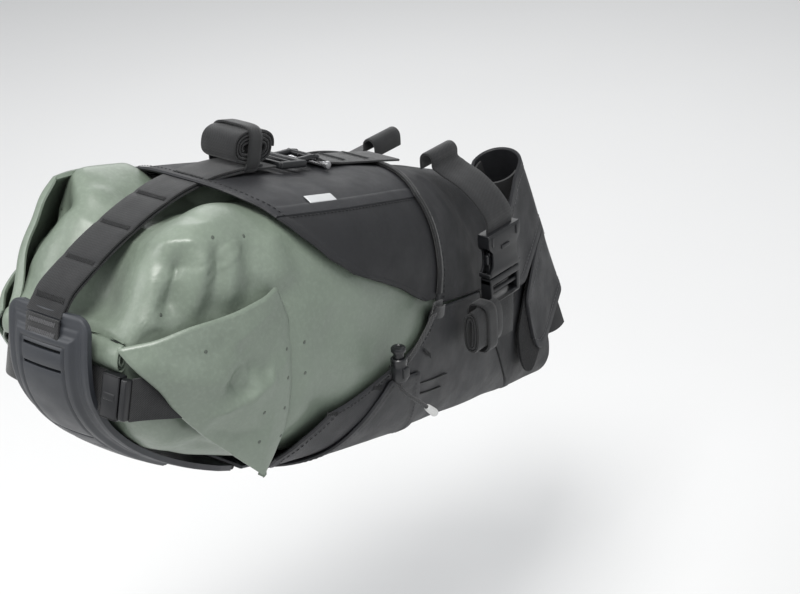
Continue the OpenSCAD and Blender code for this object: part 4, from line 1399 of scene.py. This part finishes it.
class SEATPACK_OT_holster(bpy.types.Operator):
    """Add the holster's panels, cowl, piping, pocket and their stitching"""

    bl_idname = "seatpack.holster"
    bl_label = "Holster"

    def execute(self, context):
        sizes = context.scene.seat_pack_sizes
        top = TOP_ROWS + mirrored(TOP_ROWS[:-1])[::-1]
        panel("Top_panel", top, "laminate", ["holster_top_panel"], rim=["rear", "first", "last"], wave=0.5,
            count=80)
        for name, rows in (("left", SIDE_ROWS), ("right", mirrored(SIDE_ROWS)[::-1])):
            panel(f"Side_panel_{name}", rows, "laminate_dark", [f"holster_side_panel_{name}"], rim=["rear"],
                wave=0.5)
        lower = mirrored(LOWER_ROWS[:-1], -180) + LOWER_ROWS[::-1]
        panel("Lower_shell", lower, "laminate", ["holster_lower_shell"], rim=["rear", "first", "last"],
            wave=0.7, count=120)
        cowl = COWL_ROWS + mirrored(COWL_ROWS[:-1])[::-1]
        panel("Front_cowl", cowl, "laminate_dark", ["front_cowl"], rim=["rear"], wave=0.5, count=150)
        piping = PIPING_ROWS + mirrored(PIPING_ROWS[:-1])[::-1]
        self.piping(piping)
        pocket = mirrored(POCKET_ROWS, -180)
        panel("Side_pocket", pocket, "laminate", ["side_pocket"], o_in=GAP + SHEET + 0.3,
            o_out=GAP + SHEET + 1.9,
              rim=["rear", "front", "first"], wave=0.3, nx=30)
        front = self.front_panel()
        ridden(front, "holster", "laminate", "cowl_front_panel")
        tongue = [(-314, 0, -68.2), (-290, 0, -68.2), (-250, 0, -68.2), (-215, 0, -68.2)]
        piece = strap_piece("Pad_tongue", [tongue], (0, 1, 0), 46, 2.2, "pad")
        ridden(piece, "holster", "laminate", "pad_tongue")
        self.stitching(sizes, top, lower, cowl, pocket)
        self.slots()
        self.tab()
        return {"FINISHED"}

    def piping(self, rows):
        """Cord-filled piping along the cowl's rear edge, with its flat flange."""
        rows = dense(rows, 160)
        middle = surface((rows[:, 1] + rows[:, 2]) / 2, rows[:, 0], GAP + SHEET + 1.7, HOLSTER_GIRTH)
        flange = surface(rows[:, 1] + 3.5, rows[:, 0], GAP + SHEET + 0.9, HOLSTER_GIRTH)
        across = middle - flange
        parts = Parts().tube(middle, 1.5, 10)
        parts.add(*tape((middle + flange) / 2, across, 8, 0.9, smooth=False))
        piece = fix_uv(parts.piece("Cowl_piping", material("binding")))
        ridden(piece, "holster", "webbing", "cowl_piping")

    def front_panel(self):
        angle = np.linspace(0, 360, 96, endpoint=False)
        rings = []
        for x, off, share in ((-31.6, 1.6, 0), (-31.6, 1.6, 0.4), (-31.6, 1.6, 0.9), (-32.0, 1.6, 1.0),
            (-33.2, 2.2, 1.0),
                              (-34.6, 1.6, 1.0), (-34.9, 1.6, 0.9), (-34.9, 1.6, 0.3), (-34.9, 1.6, 0)):
            p = surface(x, angle, off)
            rings.append(p.mean(0) + (p - p.mean(0)) * max(share, 0.01))
        faces = grid_faces(len(rings), 96, close_v=True).tolist()
        faces += [list(range(96)), [(len(rings) - 1) * 96 + j for j in range(96)][::-1]]
        return make("Cowl_front_panel", place(np.concatenate(rings)), faces, material("laminate_dark"))

    def stitching(self, sizes, top, lower, cowl, pocket):
        out = GAP + SHEET + 0.75
        rows = [
            edge_line(top, "rear", out, 5.5),
            edge_line(lower, "rear", out, 5.0),
            edge_line(cowl[10:-10], "rear", out - 0.3, 6.5),
            edge_line(cowl[10:-10], "rear", out - 0.4, 9.5),
            edge_line(pocket, "rear", GAP + SHEET + 2.35, 4.5),
            edge_line(pocket, "front", GAP + SHEET + 2.35, 4.5),
        ]
        for side in (1, -1):
            seam = [(51.4 if side > 0 else 128.6, x) for x in np.linspace(-210, -345, 60)]
            rows.append(place(surface([s[1] for s in seam], [s[0] for s in seam], GAP + SHEET + 0.25,
                HOLSTER_GIRTH)))
        piece = stitches("Holster_stitching", rows, pitch=sizes.stitch_pitch)
        ridden(piece, "holster", "webbing")
        tacks = []
        for x, angle, turn in ((-266, 193, 0.2), (-214, 186, 0.5), (-306, 199, 0.1)):
            for mirror in (1, -1):
                a = angle if mirror > 0 else 180 - angle
                c, ahead, beside = (surface(x + dx, a + da, GAP + SHEET + 0.9, HOLSTER_GIRTH) for dx,
                    da in ((0, 0), (6, 0), (0, 3)))
                q = place([c, ahead, beside])
                u = (q[1] - q[0]) / np.linalg.norm(q[1] - q[0])
                w = (q[2] - q[0]) / np.linalg.norm(q[2] - q[0])
                tacks.append(bartack(q[0], u * math.cos(turn) + w * math.sin(turn), w, 0.011, 0.0022))
        piece = stitches("Holster_bartacks", tacks, pitch=0.0007, length=0.0012, thick=0.0006)
        ridden(piece, "holster", "webbing")

    def slots(self):
        """Two dark lines on each side of the lower shell: painted shade, thin dark tubes in place of the shade inside
        each narrow slot.
        """
        parts = Parts()
        for mirror in (1, -1):
            for first, last, low, high, bow in ((-227, -185, 197.5, 198, 0.5), (-229, -189, 202.5, 204.5, 0.8)):
                share = np.linspace(0, 1, 40)
                x = first + (last - first) * share
                angle = low + (high - low) * share + bow * np.sin(np.pi * share)
                angle = angle if mirror > 0 else 180 - angle
                parts.tube(surface(x, angle, GAP + SHEET + 0.35, HOLSTER_GIRTH), 0.55, 8)
        # Painted shade: black thread tubes stand for the shade inside each slot.
        ridden(parts.piece("Side_slot_shade_lines", material("thread")), "holster", "webbing")

    def tab(self):
        """A plain reflective tab on the top panel's right slope."""
        rows = np.array([(116.0, -292.0, -314.0), (118.5, -292.0, -314.0), (121.0, -292.0, -314.0)])
        rows = dense(rows, 8)
        outer, inner = skin_grid(rows, GAP + SHEET + 0.75, 24), skin_grid(rows, GAP + SHEET + 0.1, 24)
        points, faces = slab(outer, inner)
        ridden(make("Reflective_tab", place(points), faces, material("reflective")), "holster", "laminate")


# Rear pad ----

PAD_LINE = [(-455, 37), (-454.6, 22), (-453, 8), (-448, -7), (-436.5, -22.5), (-419, -36), (-396, -47.4),
            (-370, -56.2), (-345, -62.7), (-323, -67.4)]
PAD_SLOTS = [(0.108, 15), (0.165, 15), (0.42, 15), (0.49, 15)]


class SEATPACK_OT_rear_pad(bpy.types.Operator):
    """Add the moulded rear pad with its raised panel, grooves, slits and hinge seam"""

    bl_idname = "seatpack.rear_pad"
    bl_label = "Rear pad"

    def execute(self, context):
        line = smooth_path([(x, 0, z) for x, z in PAD_LINE], 220)
        run = np.r_[0, np.cumsum(np.linalg.norm(np.diff(line, axis=0), axis=1))]
        total = run[-1]
        tangent = np.gradient(line, axis=0)
        tangent /= np.linalg.norm(tangent, axis=1, keepdims=True)
        out = np.cross(tangent, [0, 1, 0])
        if out[60] @ np.array([-1, 0, -0.5]) < 0:
            out = -out
        share = run / total
        corner = np.maximum(9 - run, 0)
        half = np.interp(share, [0, 0.55, 0.8, 0.93, 1.0], [29, 29, 27.5, 25.5, 22.5])
        half = half - 9 + np.sqrt(81 - corner**2)
        nv = 121
        v = np.linspace(-1, 1, nv)
        p = line[:, None] + np.zeros((1, nv, 3))
        p[..., 1] = half[:, None] * v[None]
        from_side = half[:, None] * (1 - np.abs(v))[None]
        from_top = run[:, None] + 0 * from_side
        from_low = (total - run)[:, None] + 0 * from_side
        inset = np.minimum(from_side, from_top * 0.9)
        panel_edge = np.minimum(from_side - 8.5, np.minimum(from_top - 13, from_low - 52))
        step = np.clip(panel_edge / 3.0 + 0.5, 0, 1)
        lift = 2.1 * step * step * (3 - 2 * step)
        groove = np.minimum(from_side - 5.2, np.minimum(from_top - 7, from_low - 42))
        lift -= 0.5 * np.exp(-((groove / 0.9) ** 2))
        lift -= 0.75 * np.exp(-(((panel_edge - 5.0) / 0.8) ** 2)) * (from_low > 50)
        lift += 0.5 * np.exp(-(((inset - 1.6) / 1.4) ** 2))
        dish = 3.6 * (np.abs(v)[None] ** 2.2) * np.interp(share, [0, 0.15, 0.6, 1], [0.6, 1, 0.7, 0.1])[:, None]
        hole = np.zeros((220, nv), bool)
        for where, reach in PAD_SLOTS:
            d = np.abs(run / total - where)[:, None] * total
            inside = (d < 1.2) & (np.abs(p[..., 1]) < reach - 1)
            hole |= inside
            lift -= 0.5 * np.exp(-((np.maximum(d, 0) / 2.4) ** 2)) * (np.abs(p[..., 1]) < reach + 1)
        outer = p + out[:, None] * (1.5 + lift)[..., None] - out[:, None] * dish[..., None] * 0
        inner = p - out[:, None] * 1.5
        bend = -out[:, None] * dish[..., None]
        outer, inner = outer + bend, inner + bend
        piece = self.with_holes("Rear_pad", outer, inner, hole)
        ridden(piece, "rear_pad", "moulded_pad", "rear_pad", "rear_pad_panel")
        seam = Parts().tube([(-318, y, -68.4) for y in np.linspace(-19, 19, 24)], 1.5, 16)
        for s in (-1, 1):
            seam.tube([(-318 + dx, y, -68.4 + 1.0 * s) for dx, y in ((-3, -18), (-3, 18))], 0.4, 8)
        ridden(fix_uv(seam.piece("Pad_hinge_seam", material("binding"))), "rear_pad", "webbing",
            "pad_hinge_seam")
        self.webbing_end(line, out, run)
        return {"FINISHED"}

    def with_holes(self, name, outer, inner, hole):
        """Sheet with slits: each slit's quads are left out and its walls are closed."""
        nu, nv = outer.shape[:2]
        count = nu * nv
        quads = grid_faces(nu, nv)
        inside = hole.reshape(-1)[quads].all(1)
        kept = quads[~inside]
        edges = {}
        for q in kept:
            for a, b in zip(q, np.roll(q, -1)):
                key = (min(a, b), max(a, b))
                if key in edges:
                    del edges[key]
                else:
                    edges[key] = (a, b)
        points = [outer.reshape(-1, 3), inner.reshape(-1, 3)]
        faces = kept.tolist() + (kept + count)[:, ::-1].tolist()
        faces += [[a, b, b + count, a + count][::-1] for a, b in edges.values()]
        piece = make(name, place(np.concatenate(points)), faces, material("pad"), sharp=38)
        bevel = piece.modifiers.new("Edge", "BEVEL")
        bevel.width, bevel.segments, bevel.limit_method, bevel.angle_limit = 0.0005, 2, "ANGLE", math.radians(50)
        return piece

    def webbing_end(self, line, out, run):
        """The top strap's end, sewn to the pad with two bartacks."""
        i = np.searchsorted(run, 4.0)
        j = np.searchsorted(run, 15.0)
        path = line[[i, (i + j) // 2, j]] + out[[i, (i + j) // 2, j]] * 2.5
        piece = strap_piece("Strap_end", [path], (0, 1, 0), 24, 1.4, "webbing", count=20)
        ridden(piece, "rear_pad", "webbing")
        tacks = []
        for k in (0.25, 0.75):
            centre = (path[0] * (1 - k) + path[2] * k) + out[i] * 0.9
            c = place([centre, centre + (path[2] - path[0])])
            along = c[1] - c[0]
            tacks.append(bartack(c[0], (0, 1, 0), along / np.linalg.norm(along), 0.019, 0.0022, passes=16))
        piece = stitches("Strap_end_stitches", tacks, "thread_grey", pitch=0.0007, length=0.0012, thick=0.0005)
        ridden(piece, "rear_pad", "webbing")


# Top strap ----

STRAP_LINE = [(-455.5, 33), (-450, 43), (-438, 54), (-421, 67), (-401, 79.4), (-377, 91), (-352, 98),
              (-328, 101.2), (-300, 102.6)]


def coil_path(half_x, half_z, turns, pitch, count=200):
    """Flat spiral of webbing, seen along its width."""
    a = np.linspace(0, 2 * math.pi * turns, count)
    out = -pitch * a / (2 * math.pi)
    c, s = np.cos(a), np.sin(a)
    return np.stack([(half_x + out) * np.sign(c) * np.abs(c) ** 0.75, 0 * a,
        (half_z + out) * np.sign(s) * np.abs(s) ** 0.75], -1)


class SEATPACK_OT_top_strap(bpy.types.Operator):
    """Add the top strap with its daisy loops, the rolled webbing, the keeper, the hook and the anchor"""

    bl_idname = "seatpack.top_strap"
    bl_label = "Top strap"

    def execute(self, context):
        sizes = context.scene.seat_pack_sizes
        w, t = sizes.webbing_width / MM, sizes.webbing_thickness / MM
        base = np.array([(x, 0, z) for x, z in STRAP_LINE], float)
        lower = smooth_path(base, 120) - [0, 0, 0]
        tangent = np.gradient(lower, axis=0)
        tangent /= np.linalg.norm(tangent, axis=1, keepdims=True)
        out = np.cross(tangent, [0, -1, 0])
        if out[60][2] < 0:
            out = -out
        run = np.r_[0, np.cumsum(np.linalg.norm(np.diff(lower, axis=0), axis=1))]
        tacks_at = [8, 34, 62, 90, 118]
        rise = 1.9 * np.ones(len(run))
        for a, b in zip(tacks_at[:-1], tacks_at[1:]):
            k = np.clip((run - a) / (b - a), 0, 1)
            rise += 0.35 * np.sin(np.pi * k) ** 0.6
        for a in tacks_at:
            rise -= 0.25 * np.exp(-(((run - a) / 2.2) ** 2))
        upper = lower + out * rise[:, None]
        parts = Parts()
        parts.add(*tape(lower, (0, 1, 0), w, t, smooth=False))
        parts.add(*tape(upper[:112], (0, 1, 0), w, t, smooth=False))
        strap = fix_uv(parts.piece("Top_strap", material("webbing"), sharp=50))
        ridden(strap, "top_strap", "webbing", "top_strap")
        rows = []
        for a in tacks_at:
            i = np.searchsorted(run, a)
            c = place([upper[i] + out[i] * 0.95, upper[i] + out[i] * 0.95 + tangent[i]])
            along = (c[1] - c[0]) / np.linalg.norm(c[1] - c[0])
            rows.append(bartack(c[0], (0, 1, 0), along, 0.020, 0.0026, passes=18))
        piece = stitches("Top_strap_bartacks", rows, "thread", pitch=0.0007, length=0.0014, thick=0.0006)
        ridden(piece, "top_strap", "webbing", "top_strap_bartack")
        centre = np.array([-321, 0, 114.6])
        coil = coil_path(16.4, 9.8, 3.6, 2.0) + centre
        roll = Parts().add(*tape(coil, (0, 1, 0), w, t, smooth=False))
        ridden(fix_uv(roll.piece("Top_strap_roll", material("webbing"), sharp=50)), "top_strap", "webbing",
            "top_strap_roll")
        a = np.linspace(0, 2 * math.pi, 60)
        c, s = np.cos(a), np.sin(a)
        ring = np.stack([0 * a - 322, (w / 2 + 1.6) * np.sign(c) * np.abs(c) ** 0.45,
                         113.2 + 13.0 * np.sign(s) * np.abs(s) ** 0.45], -1)
        keeper = Parts().add(*tape(ring, (1, 0, 0), 10.5, 1.3, smooth=False))
        ridden(fix_uv(keeper.piece("Top_strap_keeper", material("webbing"), sharp=50)), "top_strap",
            "webbing", "top_strap_keeper")
        self.hook(w)
        self.anchor(w, t)
        return {"FINISHED"}

    def hook(self, w):
        z = 103.4
        parts = Parts()
        for y in (-1, 1):
            parts.block((-288, y * (w / 2 + 1.5), z), (22, 3.4, 4.2), 1.2, 4)
        for x, size in ((-298, 3.4), (-288.6, 2.8), (-279.6, 5.2)):
            parts.block((x, 0, z), (size, w + 4, 3.8), 1.1, 4)
        for y in (-8, 8):
            path = smooth_path([(-281, y, z), (-272, y, z + 0.8), (-265, y * 0.98, z + 1.6),
                (-259.5, y * 0.96, z + 1.2)], 16)
            parts.tube(path, 1.9, 12)
        parts.tube(smooth_path([(-264.5, -9.5, z + 1.8), (-265.2, 0, z + 1.9), (-264.5, 9.5, z + 1.8)], 14),
            1.7, 12)
        piece = parts.piece("Top_hook", material("plastic"))
        ridden(piece, "top_strap", "buckle_plastic", "top_hook")

    def anchor(self, w, t):
        line = [(-260.6, 0, 104.0), (-256, 0, 102.4), (-246, 0, 101.2), (-225, 0, 100.4), (-205, 0, 99.9),
                (-186, 0, 99.2)]
        piece = strap_piece("Anchor_webbing", [line], (0, 1, 0), w, t)
        ridden(piece, "holster", "webbing", "anchor_webbing")
        y = np.linspace(-17, 17, 24)
        bar = Parts().tube(np.stack([-260 + 0 * y, y, 101.8 + 0 * y], -1), 1.5, 16)
        for s in (-1, 1):
            bar.lathe([(0.02, -1.1), (2.1, -1.0), (2.4, 0), (2.1, 1.0), (0.02, 1.1)],
                      Matrix.Translation((-260, s * 16.6, 101.8)) @ Matrix.Rotation(math.pi / 2, 4, "X"), 20)
        ridden(bar.piece("Anchor_ring", material("steel")), "holster", "steel", "anchor_ring")
        rows = [bartack(place([(x, 0, z)])[0], (0, 1, 0), (0.96, 0, -0.27), 0.020, 0.0024, passes=16)
                for x, z in ((-236, 102.2), (-214, 101.7))]
        ridden(stitches("Anchor_bartacks", rows, "thread", 0.0007, 0.0014, 0.0006), "holster", "webbing")


# Post cradle, flaps and patches ----

FLAP_R = 15.3
FLAP_T = 1.8
FLAP_START, TAIL_TURN = 116, 20


def wrap_point(s, off):
    """Place along a flap: s is the length from the hinge line, round the post and then straight on."""
    r = FLAP_R + off
    start, end = math.radians(FLAP_START), math.radians(-90 + TAIL_TURN)
    arc = (start - end) * (FLAP_R + FLAP_T / 2)
    s = np.asarray(s, float)
    a = start - np.minimum(s, arc) / (FLAP_R + FLAP_T / 2)
    rest = np.maximum(s - arc, 0)
    return np.stack([r * np.cos(a) - rest * math.cos(math.radians(TAIL_TURN)),
                     r * np.sin(a) - rest * math.sin(math.radians(TAIL_TURN))], -1), arc


class SEATPACK_OT_post(bpy.types.Operator):
    """Add the seat post cradle, its two closing flaps and their loop patches"""

    bl_idname = "seatpack.post"
    bl_label = "Seat post cradle"

    def execute(self, context):
        paint(("post_cradle",), "grip")
        for name, low, h in (("upper", 13.5, 59), ("lower", -44.5, 57)):
            self.flap(name, low, h)
        paint(("loop_patch_upper", "loop_patch_lower"), "pile")
        return {"FINISHED"}

    def outline(self, h):
        """Upper and lower edge of the tail against distance from the post, from the tail's rounded corners."""
        pts = []
        for cx, cz, r in ((-43, 19.5, 19), (-46, h - 19, 11)):
            for a in np.linspace(0, 2 * math.pi, 48, endpoint=False):
                pts.append((cx + r * math.cos(a), cz + r * math.sin(a)))
        pts += [(0, 0), (0, h), (-14, 3), (-14, h)]
        pts = sorted(set((round(x, 4), round(z, 4)) for x, z in pts))

        def half(points):
            hull = []
            for p in points:
                while len(hull) > 1 and (hull[-1][0] - hull[-2][0]) * (p[1] - hull[-2][1]) - (
                    hull[-1][1] - hull[-2][1]) * (p[0] - hull[-2][0]) <= 0:
                    hull.pop()
                hull.append(p)
            return np.array(hull)

        # The corner above the lower edge's end shares its place along the flap, so it is left out
        low = np.array([p for p in half(pts) if p[0] < 0 or p[1] == 0])
        top = half(pts[::-1])[::-1]
        return low, top

    def flap(self, name, z0, h):
        low, top = self.outline(h)
        reach = -low[0, 0]
        _, arc = wrap_point(0, 0)
        s = np.r_[np.linspace(0, arc, 44), arc + reach * np.sin(np.linspace(0, math.pi / 2, 42))[1:]]
        x = -np.maximum(s - arc, 0)
        z_low = np.interp(x, low[:, 0], low[:, 1])
        z_top = np.interp(x, top[:, 0], top[:, 1])
        start = np.clip(s / 6, 0, 1)
        z_low = z_low + (1 - start) * 3
        z_top = z_top - (1 - start) * 3
        nv = 40
        v = np.linspace(0, 1, nv)
        z = z_low[:, None] + (z_top - z_low)[:, None] * v[None] + z0
        grids = []
        for off in (FLAP_T, 0.0):
            xy, _ = wrap_point(s, off)
            p = np.zeros((len(s), nv, 3))
            p[..., :2] = xy[:, None]
            p[..., 2] = z
            grids.append(p)
        outer, inner = grids
        edge = np.minimum(np.minimum(v, 1 - v)[None] * (z_top - z_low)[:, None],
            np.minimum(s, s[-1] - s)[:, None])
        way = outer - inner
        way /= np.linalg.norm(way, axis=-1, keepdims=True)
        ripple = 0.35 * np.sin(s[:, None] / 9 + z / 17) * np.clip(edge / 12, 0, 1)
        lift = 0.4 * np.clip((5.5 - edge) / 0.8, 0, 1) + ripple
        points, faces = slab(outer + way * lift[..., None], inner)
        piece = make(f"Post_flap_{name}", place(points, ON_POST), faces, material("laminate"), sharp=45)
        ridden(piece, f"flap_{name}", "laminate", f"post_flap_{name}")
        rows = []
        for j_low in (True, False):
            row = []
            for i in range(2, len(s) - 1):
                height = (z_top - z_low)[i]
                if height < 13:
                    continue
                zz = z_low[i] + 6.6 if j_low else z_top[i] - 6.6
                xy, _ = wrap_point(s[i], FLAP_T + 0.25)
                row.append((xy[0], xy[1], zz + z0))
            rows.append(place(row, ON_POST))
        ridden(stitches(f"Flap_stitches_{name}", rows, "thread_grey"), f"flap_{name}", "webbing")


# Saddle rail loops, buckles and rolls ----

RAIL_X, RAIL_Z, RAIL_Y = -112.87, 110.44, 22
BUCKLE_Y, BUCKLE_Z = 65, RAIL_Z - 38
FEMALE_H, BUCKLE_W = 28, 32
MALE_TOP = BUCKLE_Z - FEMALE_H
COIL_X, COIL_Z = -29, BUCKLE_Z - 52
IDENTITY = Matrix.Identity(4)


class SEATPACK_OT_rail_straps(bpy.types.Operator):
    """Add both saddle rail loops with their buckles, adjusting webbing, rolls and keepers"""

    bl_idname = "seatpack.rail_straps"
    bl_label = "Saddle rail straps"

    def execute(self, context):
        sizes = context.scene.seat_pack_sizes
        w, t = sizes.webbing_width / MM, sizes.webbing_thickness / MM
        for side, mirror in (("left", False), ("right", True)):
            self.loop(side, mirror, w, t)
            self.female(side, mirror)
            self.male(side, mirror)
            line = [(RAIL_X, BUCKLE_Y, MALE_TOP - 18), (RAIL_X - 1, BUCKLE_Y + 0.3, MALE_TOP - 30),
                (RAIL_X - 2, BUCKLE_Y, MALE_TOP - 45)]
            piece = strap_piece(f"Adjust_webbing_{side}", [line], (1, 0, 0), w, t, matrix=IDENTITY,
                mirror=mirror)
            ridden(piece, f"rail_clip_{side}", "webbing", f"adjust_webbing_{side}")
            coil = coil_path(13.2, 5.9, 2.5, 1.9, 140)
            path = np.stack([0 * coil[:, 0] + RAIL_X + COIL_X, coil[:, 2] + BUCKLE_Y + 7.2,
                coil[:, 0] + COIL_Z], -1)
            roll = Parts().add(*tape(path, (1, 0, 0), w, t, smooth=False))
            piece = fix_uv(roll.piece(f"Webbing_roll_{side}", material("webbing"), IDENTITY, sharp=50,
                mirror=mirror))
            ridden(piece, "holster", "webbing", f"webbing_roll_{side}")
            a = np.linspace(0, 2 * math.pi, 50)
            c, s = np.cos(a), np.sin(a)
            ring = np.stack([0 * a + RAIL_X + COIL_X, BUCKLE_Y + 7.2 + 7.5 * np.sign(c) * np.abs(c) ** 0.5,
                             COIL_Z + 15.1 * np.sign(s) * np.abs(s) ** 0.5], -1)
            keeper = Parts().add(*tape(ring, (1, 0, 0), 9, 1.3, smooth=False))
            piece = fix_uv(keeper.piece(f"Roll_keeper_{side}", material("webbing"), IDENTITY, sharp=50,
                mirror=mirror))
            ridden(piece, "holster", "webbing", f"roll_keeper_{side}")
        return {"FINISHED"}

    def loop(self, side, mirror, w, t):
        r = 3.6 + t / 2 + 0.05
        over = [(RAIL_Y - r, RAIL_Z - 6)] + [
            (RAIL_Y - r * math.cos(a), RAIL_Z + r * math.sin(a)) for a in np.linspace(0, math.pi, 14)
        ] + [(RAIL_Y + r + 0.2, RAIL_Z - 3.5), (RAIL_Y + 9, RAIL_Z - 6), (RAIL_Y + 23.5,
            RAIL_Z - 12), (BUCKLE_Y - 6, RAIL_Z - 22),
             (BUCKLE_Y, RAIL_Z - 30), (BUCKLE_Y, RAIL_Z - 41)]
        path = np.array([(RAIL_X, y, z) for y, z in over])
        piece = strap_piece(f"Rail_loop_{side}", [path], (1, 0, 0), w, t, matrix=IDENTITY, mirror=mirror,
            count=110)
        ridden(piece, "holster", "webbing", f"rail_loop_{side}")

    def female(self, side, mirror):
        y, mid = BUCKLE_Y, BUCKLE_Z - FEMALE_H / 2
        p = Parts()
        for s in (-1, 1):
            face = Matrix.Rotation(math.pi / 2, 4, "X")
            outline = round_outline(
                [(-BUCKLE_W / 2, 13.5), (-BUCKLE_W / 2, 5.5), (-BUCKLE_W / 2 + 4, 2),
                    (-BUCKLE_W / 2 + 4, -7), (-BUCKLE_W / 2, -13.5),
                 (BUCKLE_W / 2, -13.5), (BUCKLE_W / 2 - 4, -7), (BUCKLE_W / 2 - 4, 2), (BUCKLE_W / 2,
                     5.5), (BUCKLE_W / 2, 13.5)], 2.4, 4)
            p.prism(outline, 1.7, (RAIL_X, y + s * 3.6, mid), 0.6, 2, face)
        for s in (-1, 1):
            p.block((RAIL_X + s * 14.6, y, mid + 9.5), (2.6, 8.4, 8), 0.8)
            p.block((RAIL_X + s * 12.4, y + 4.6, mid + 9.4), (1.6, 0.8, 6), 0.3)
            p.block((RAIL_X + s * 15.0, y, mid - 12.4), (1.8, 8.4, 2.6), 0.6)
        p.block((RAIL_X, y, mid + 13.2), (BUCKLE_W, 8.6, 2.0), 0.7)
        p.block((RAIL_X, y, mid + 6.6), (BUCKLE_W - 1, 8.6, 1.8), 0.6)
        p.block((RAIL_X, y + 4.75, mid + 3.2), (8, 0.9, 2.4), 0.35)
        piece = p.piece(f"Rail_buckle_female_{side}", material("plastic"), IDENTITY, mirror=mirror)
        ridden(piece, "holster", "buckle_plastic", f"rail_buckle_female_{side}")

    def male(self, side, mirror):
        y, top = BUCKLE_Y, MALE_TOP - 0.6
        p = Parts()
        p.block((RAIL_X, y, top - 2.4), (30, 8.4, 4.8), 1.2, 4)
        p.block((RAIL_X, y, top - 16.6), (30, 7.6, 2.8), 1.2, 4)
        p.block((RAIL_X, y + 1.2, top - 9.4), (28, 3.4, 2.8), 1.0, 4)
        for s in (-1, 1):
            p.block((RAIL_X + s * 13.6, y, top - 9), (2.8, 8.0, 17), 1.0, 4)
            p.block((RAIL_X + s * 10.6, y, top + 8), (3.4, 3.2, 17), 1.1, 4)
            p.block((RAIL_X + s * 12.3, y, top + 11.5), (3.0, 3.0, 7), 1.2, 4)
        p.block((RAIL_X, y, top + 6), (3.4, 3.2, 13), 0.9, 3)
        for k in range(3):
            p.block((RAIL_X, y + 4.1, top - 15.6 - 0.9 * k + 0.9), (18, 0.5, 0.45), 0.15, 1)
        piece = p.piece(f"Rail_buckle_male_{side}", material("plastic"), IDENTITY, mirror=mirror)
        ridden(piece, f"rail_clip_{side}", "buckle_plastic", f"rail_buckle_male_{side}")


def paint(nodes, key):
    """A CAD node whose shape is right keeps it and takes its finish."""
    for name in nodes:
        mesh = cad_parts[name].data
        mesh.materials.clear()
        mesh.materials.append(material(key))


class SEATPACK_OT_hidden_sheets(bpy.types.Operator):
    """Finish the stiffeners that stay inside the holster and the roll"""

    bl_idname = "seatpack.hidden_sheets"
    bl_label = "Stiffeners"

    def execute(self, context):
        paint(("closure_stiffener", "holster_floor_stiffener"), "plastic")
        return {"FINISHED"}


STEPS = ("stage", "drawcord", "dry_bag", "closure", "holster", "rear_pad", "top_strap", "post", "rail_straps",
         "hidden_sheets")


class SEATPACK_PT_panel(bpy.types.Panel):
    """The seat pack's pieces, sizes and colours"""

    bl_label = "Seat pack"
    bl_idname = "SEATPACK_PT_panel"
    bl_space_type = "VIEW_3D"
    bl_region_type = "UI"
    bl_category = "Seat pack"

    def draw(self, context):
        for group in (context.scene.seat_pack_finish, context.scene.seat_pack_sizes):
            box = self.layout.box()
            for key in group.__annotations__:
                box.prop(group, key)
        column = self.layout.column(align=True)
        for step in STEPS:
            column.operator(f"seatpack.{step}")


CLASSES = (
    SeatPackFinish, SeatPackSizes, SEATPACK_OT_stage, SEATPACK_OT_drawcord, SEATPACK_OT_dry_bag, SEATPACK_OT_closure,
    SEATPACK_OT_holster, SEATPACK_OT_rear_pad, SEATPACK_OT_top_strap, SEATPACK_OT_post, SEATPACK_OT_rail_straps,
    SEATPACK_OT_hidden_sheets, SEATPACK_PT_panel,
)


def register():
    for cls in CLASSES:
        bpy.utils.register_class(cls)
    bpy.types.Scene.seat_pack_finish = bpy.props.PointerProperty(type=SeatPackFinish)
    bpy.types.Scene.seat_pack_sizes = bpy.props.PointerProperty(type=SeatPackSizes)


def unregister():
    del bpy.types.Scene.seat_pack_sizes
    del bpy.types.Scene.seat_pack_finish
    for cls in reversed(CLASSES):
        bpy.utils.unregister_class(cls)


def main():
    register()
    for step in STEPS:
        getattr(bpy.ops.seatpack, step)()


if __name__ == "__main__":
    main()
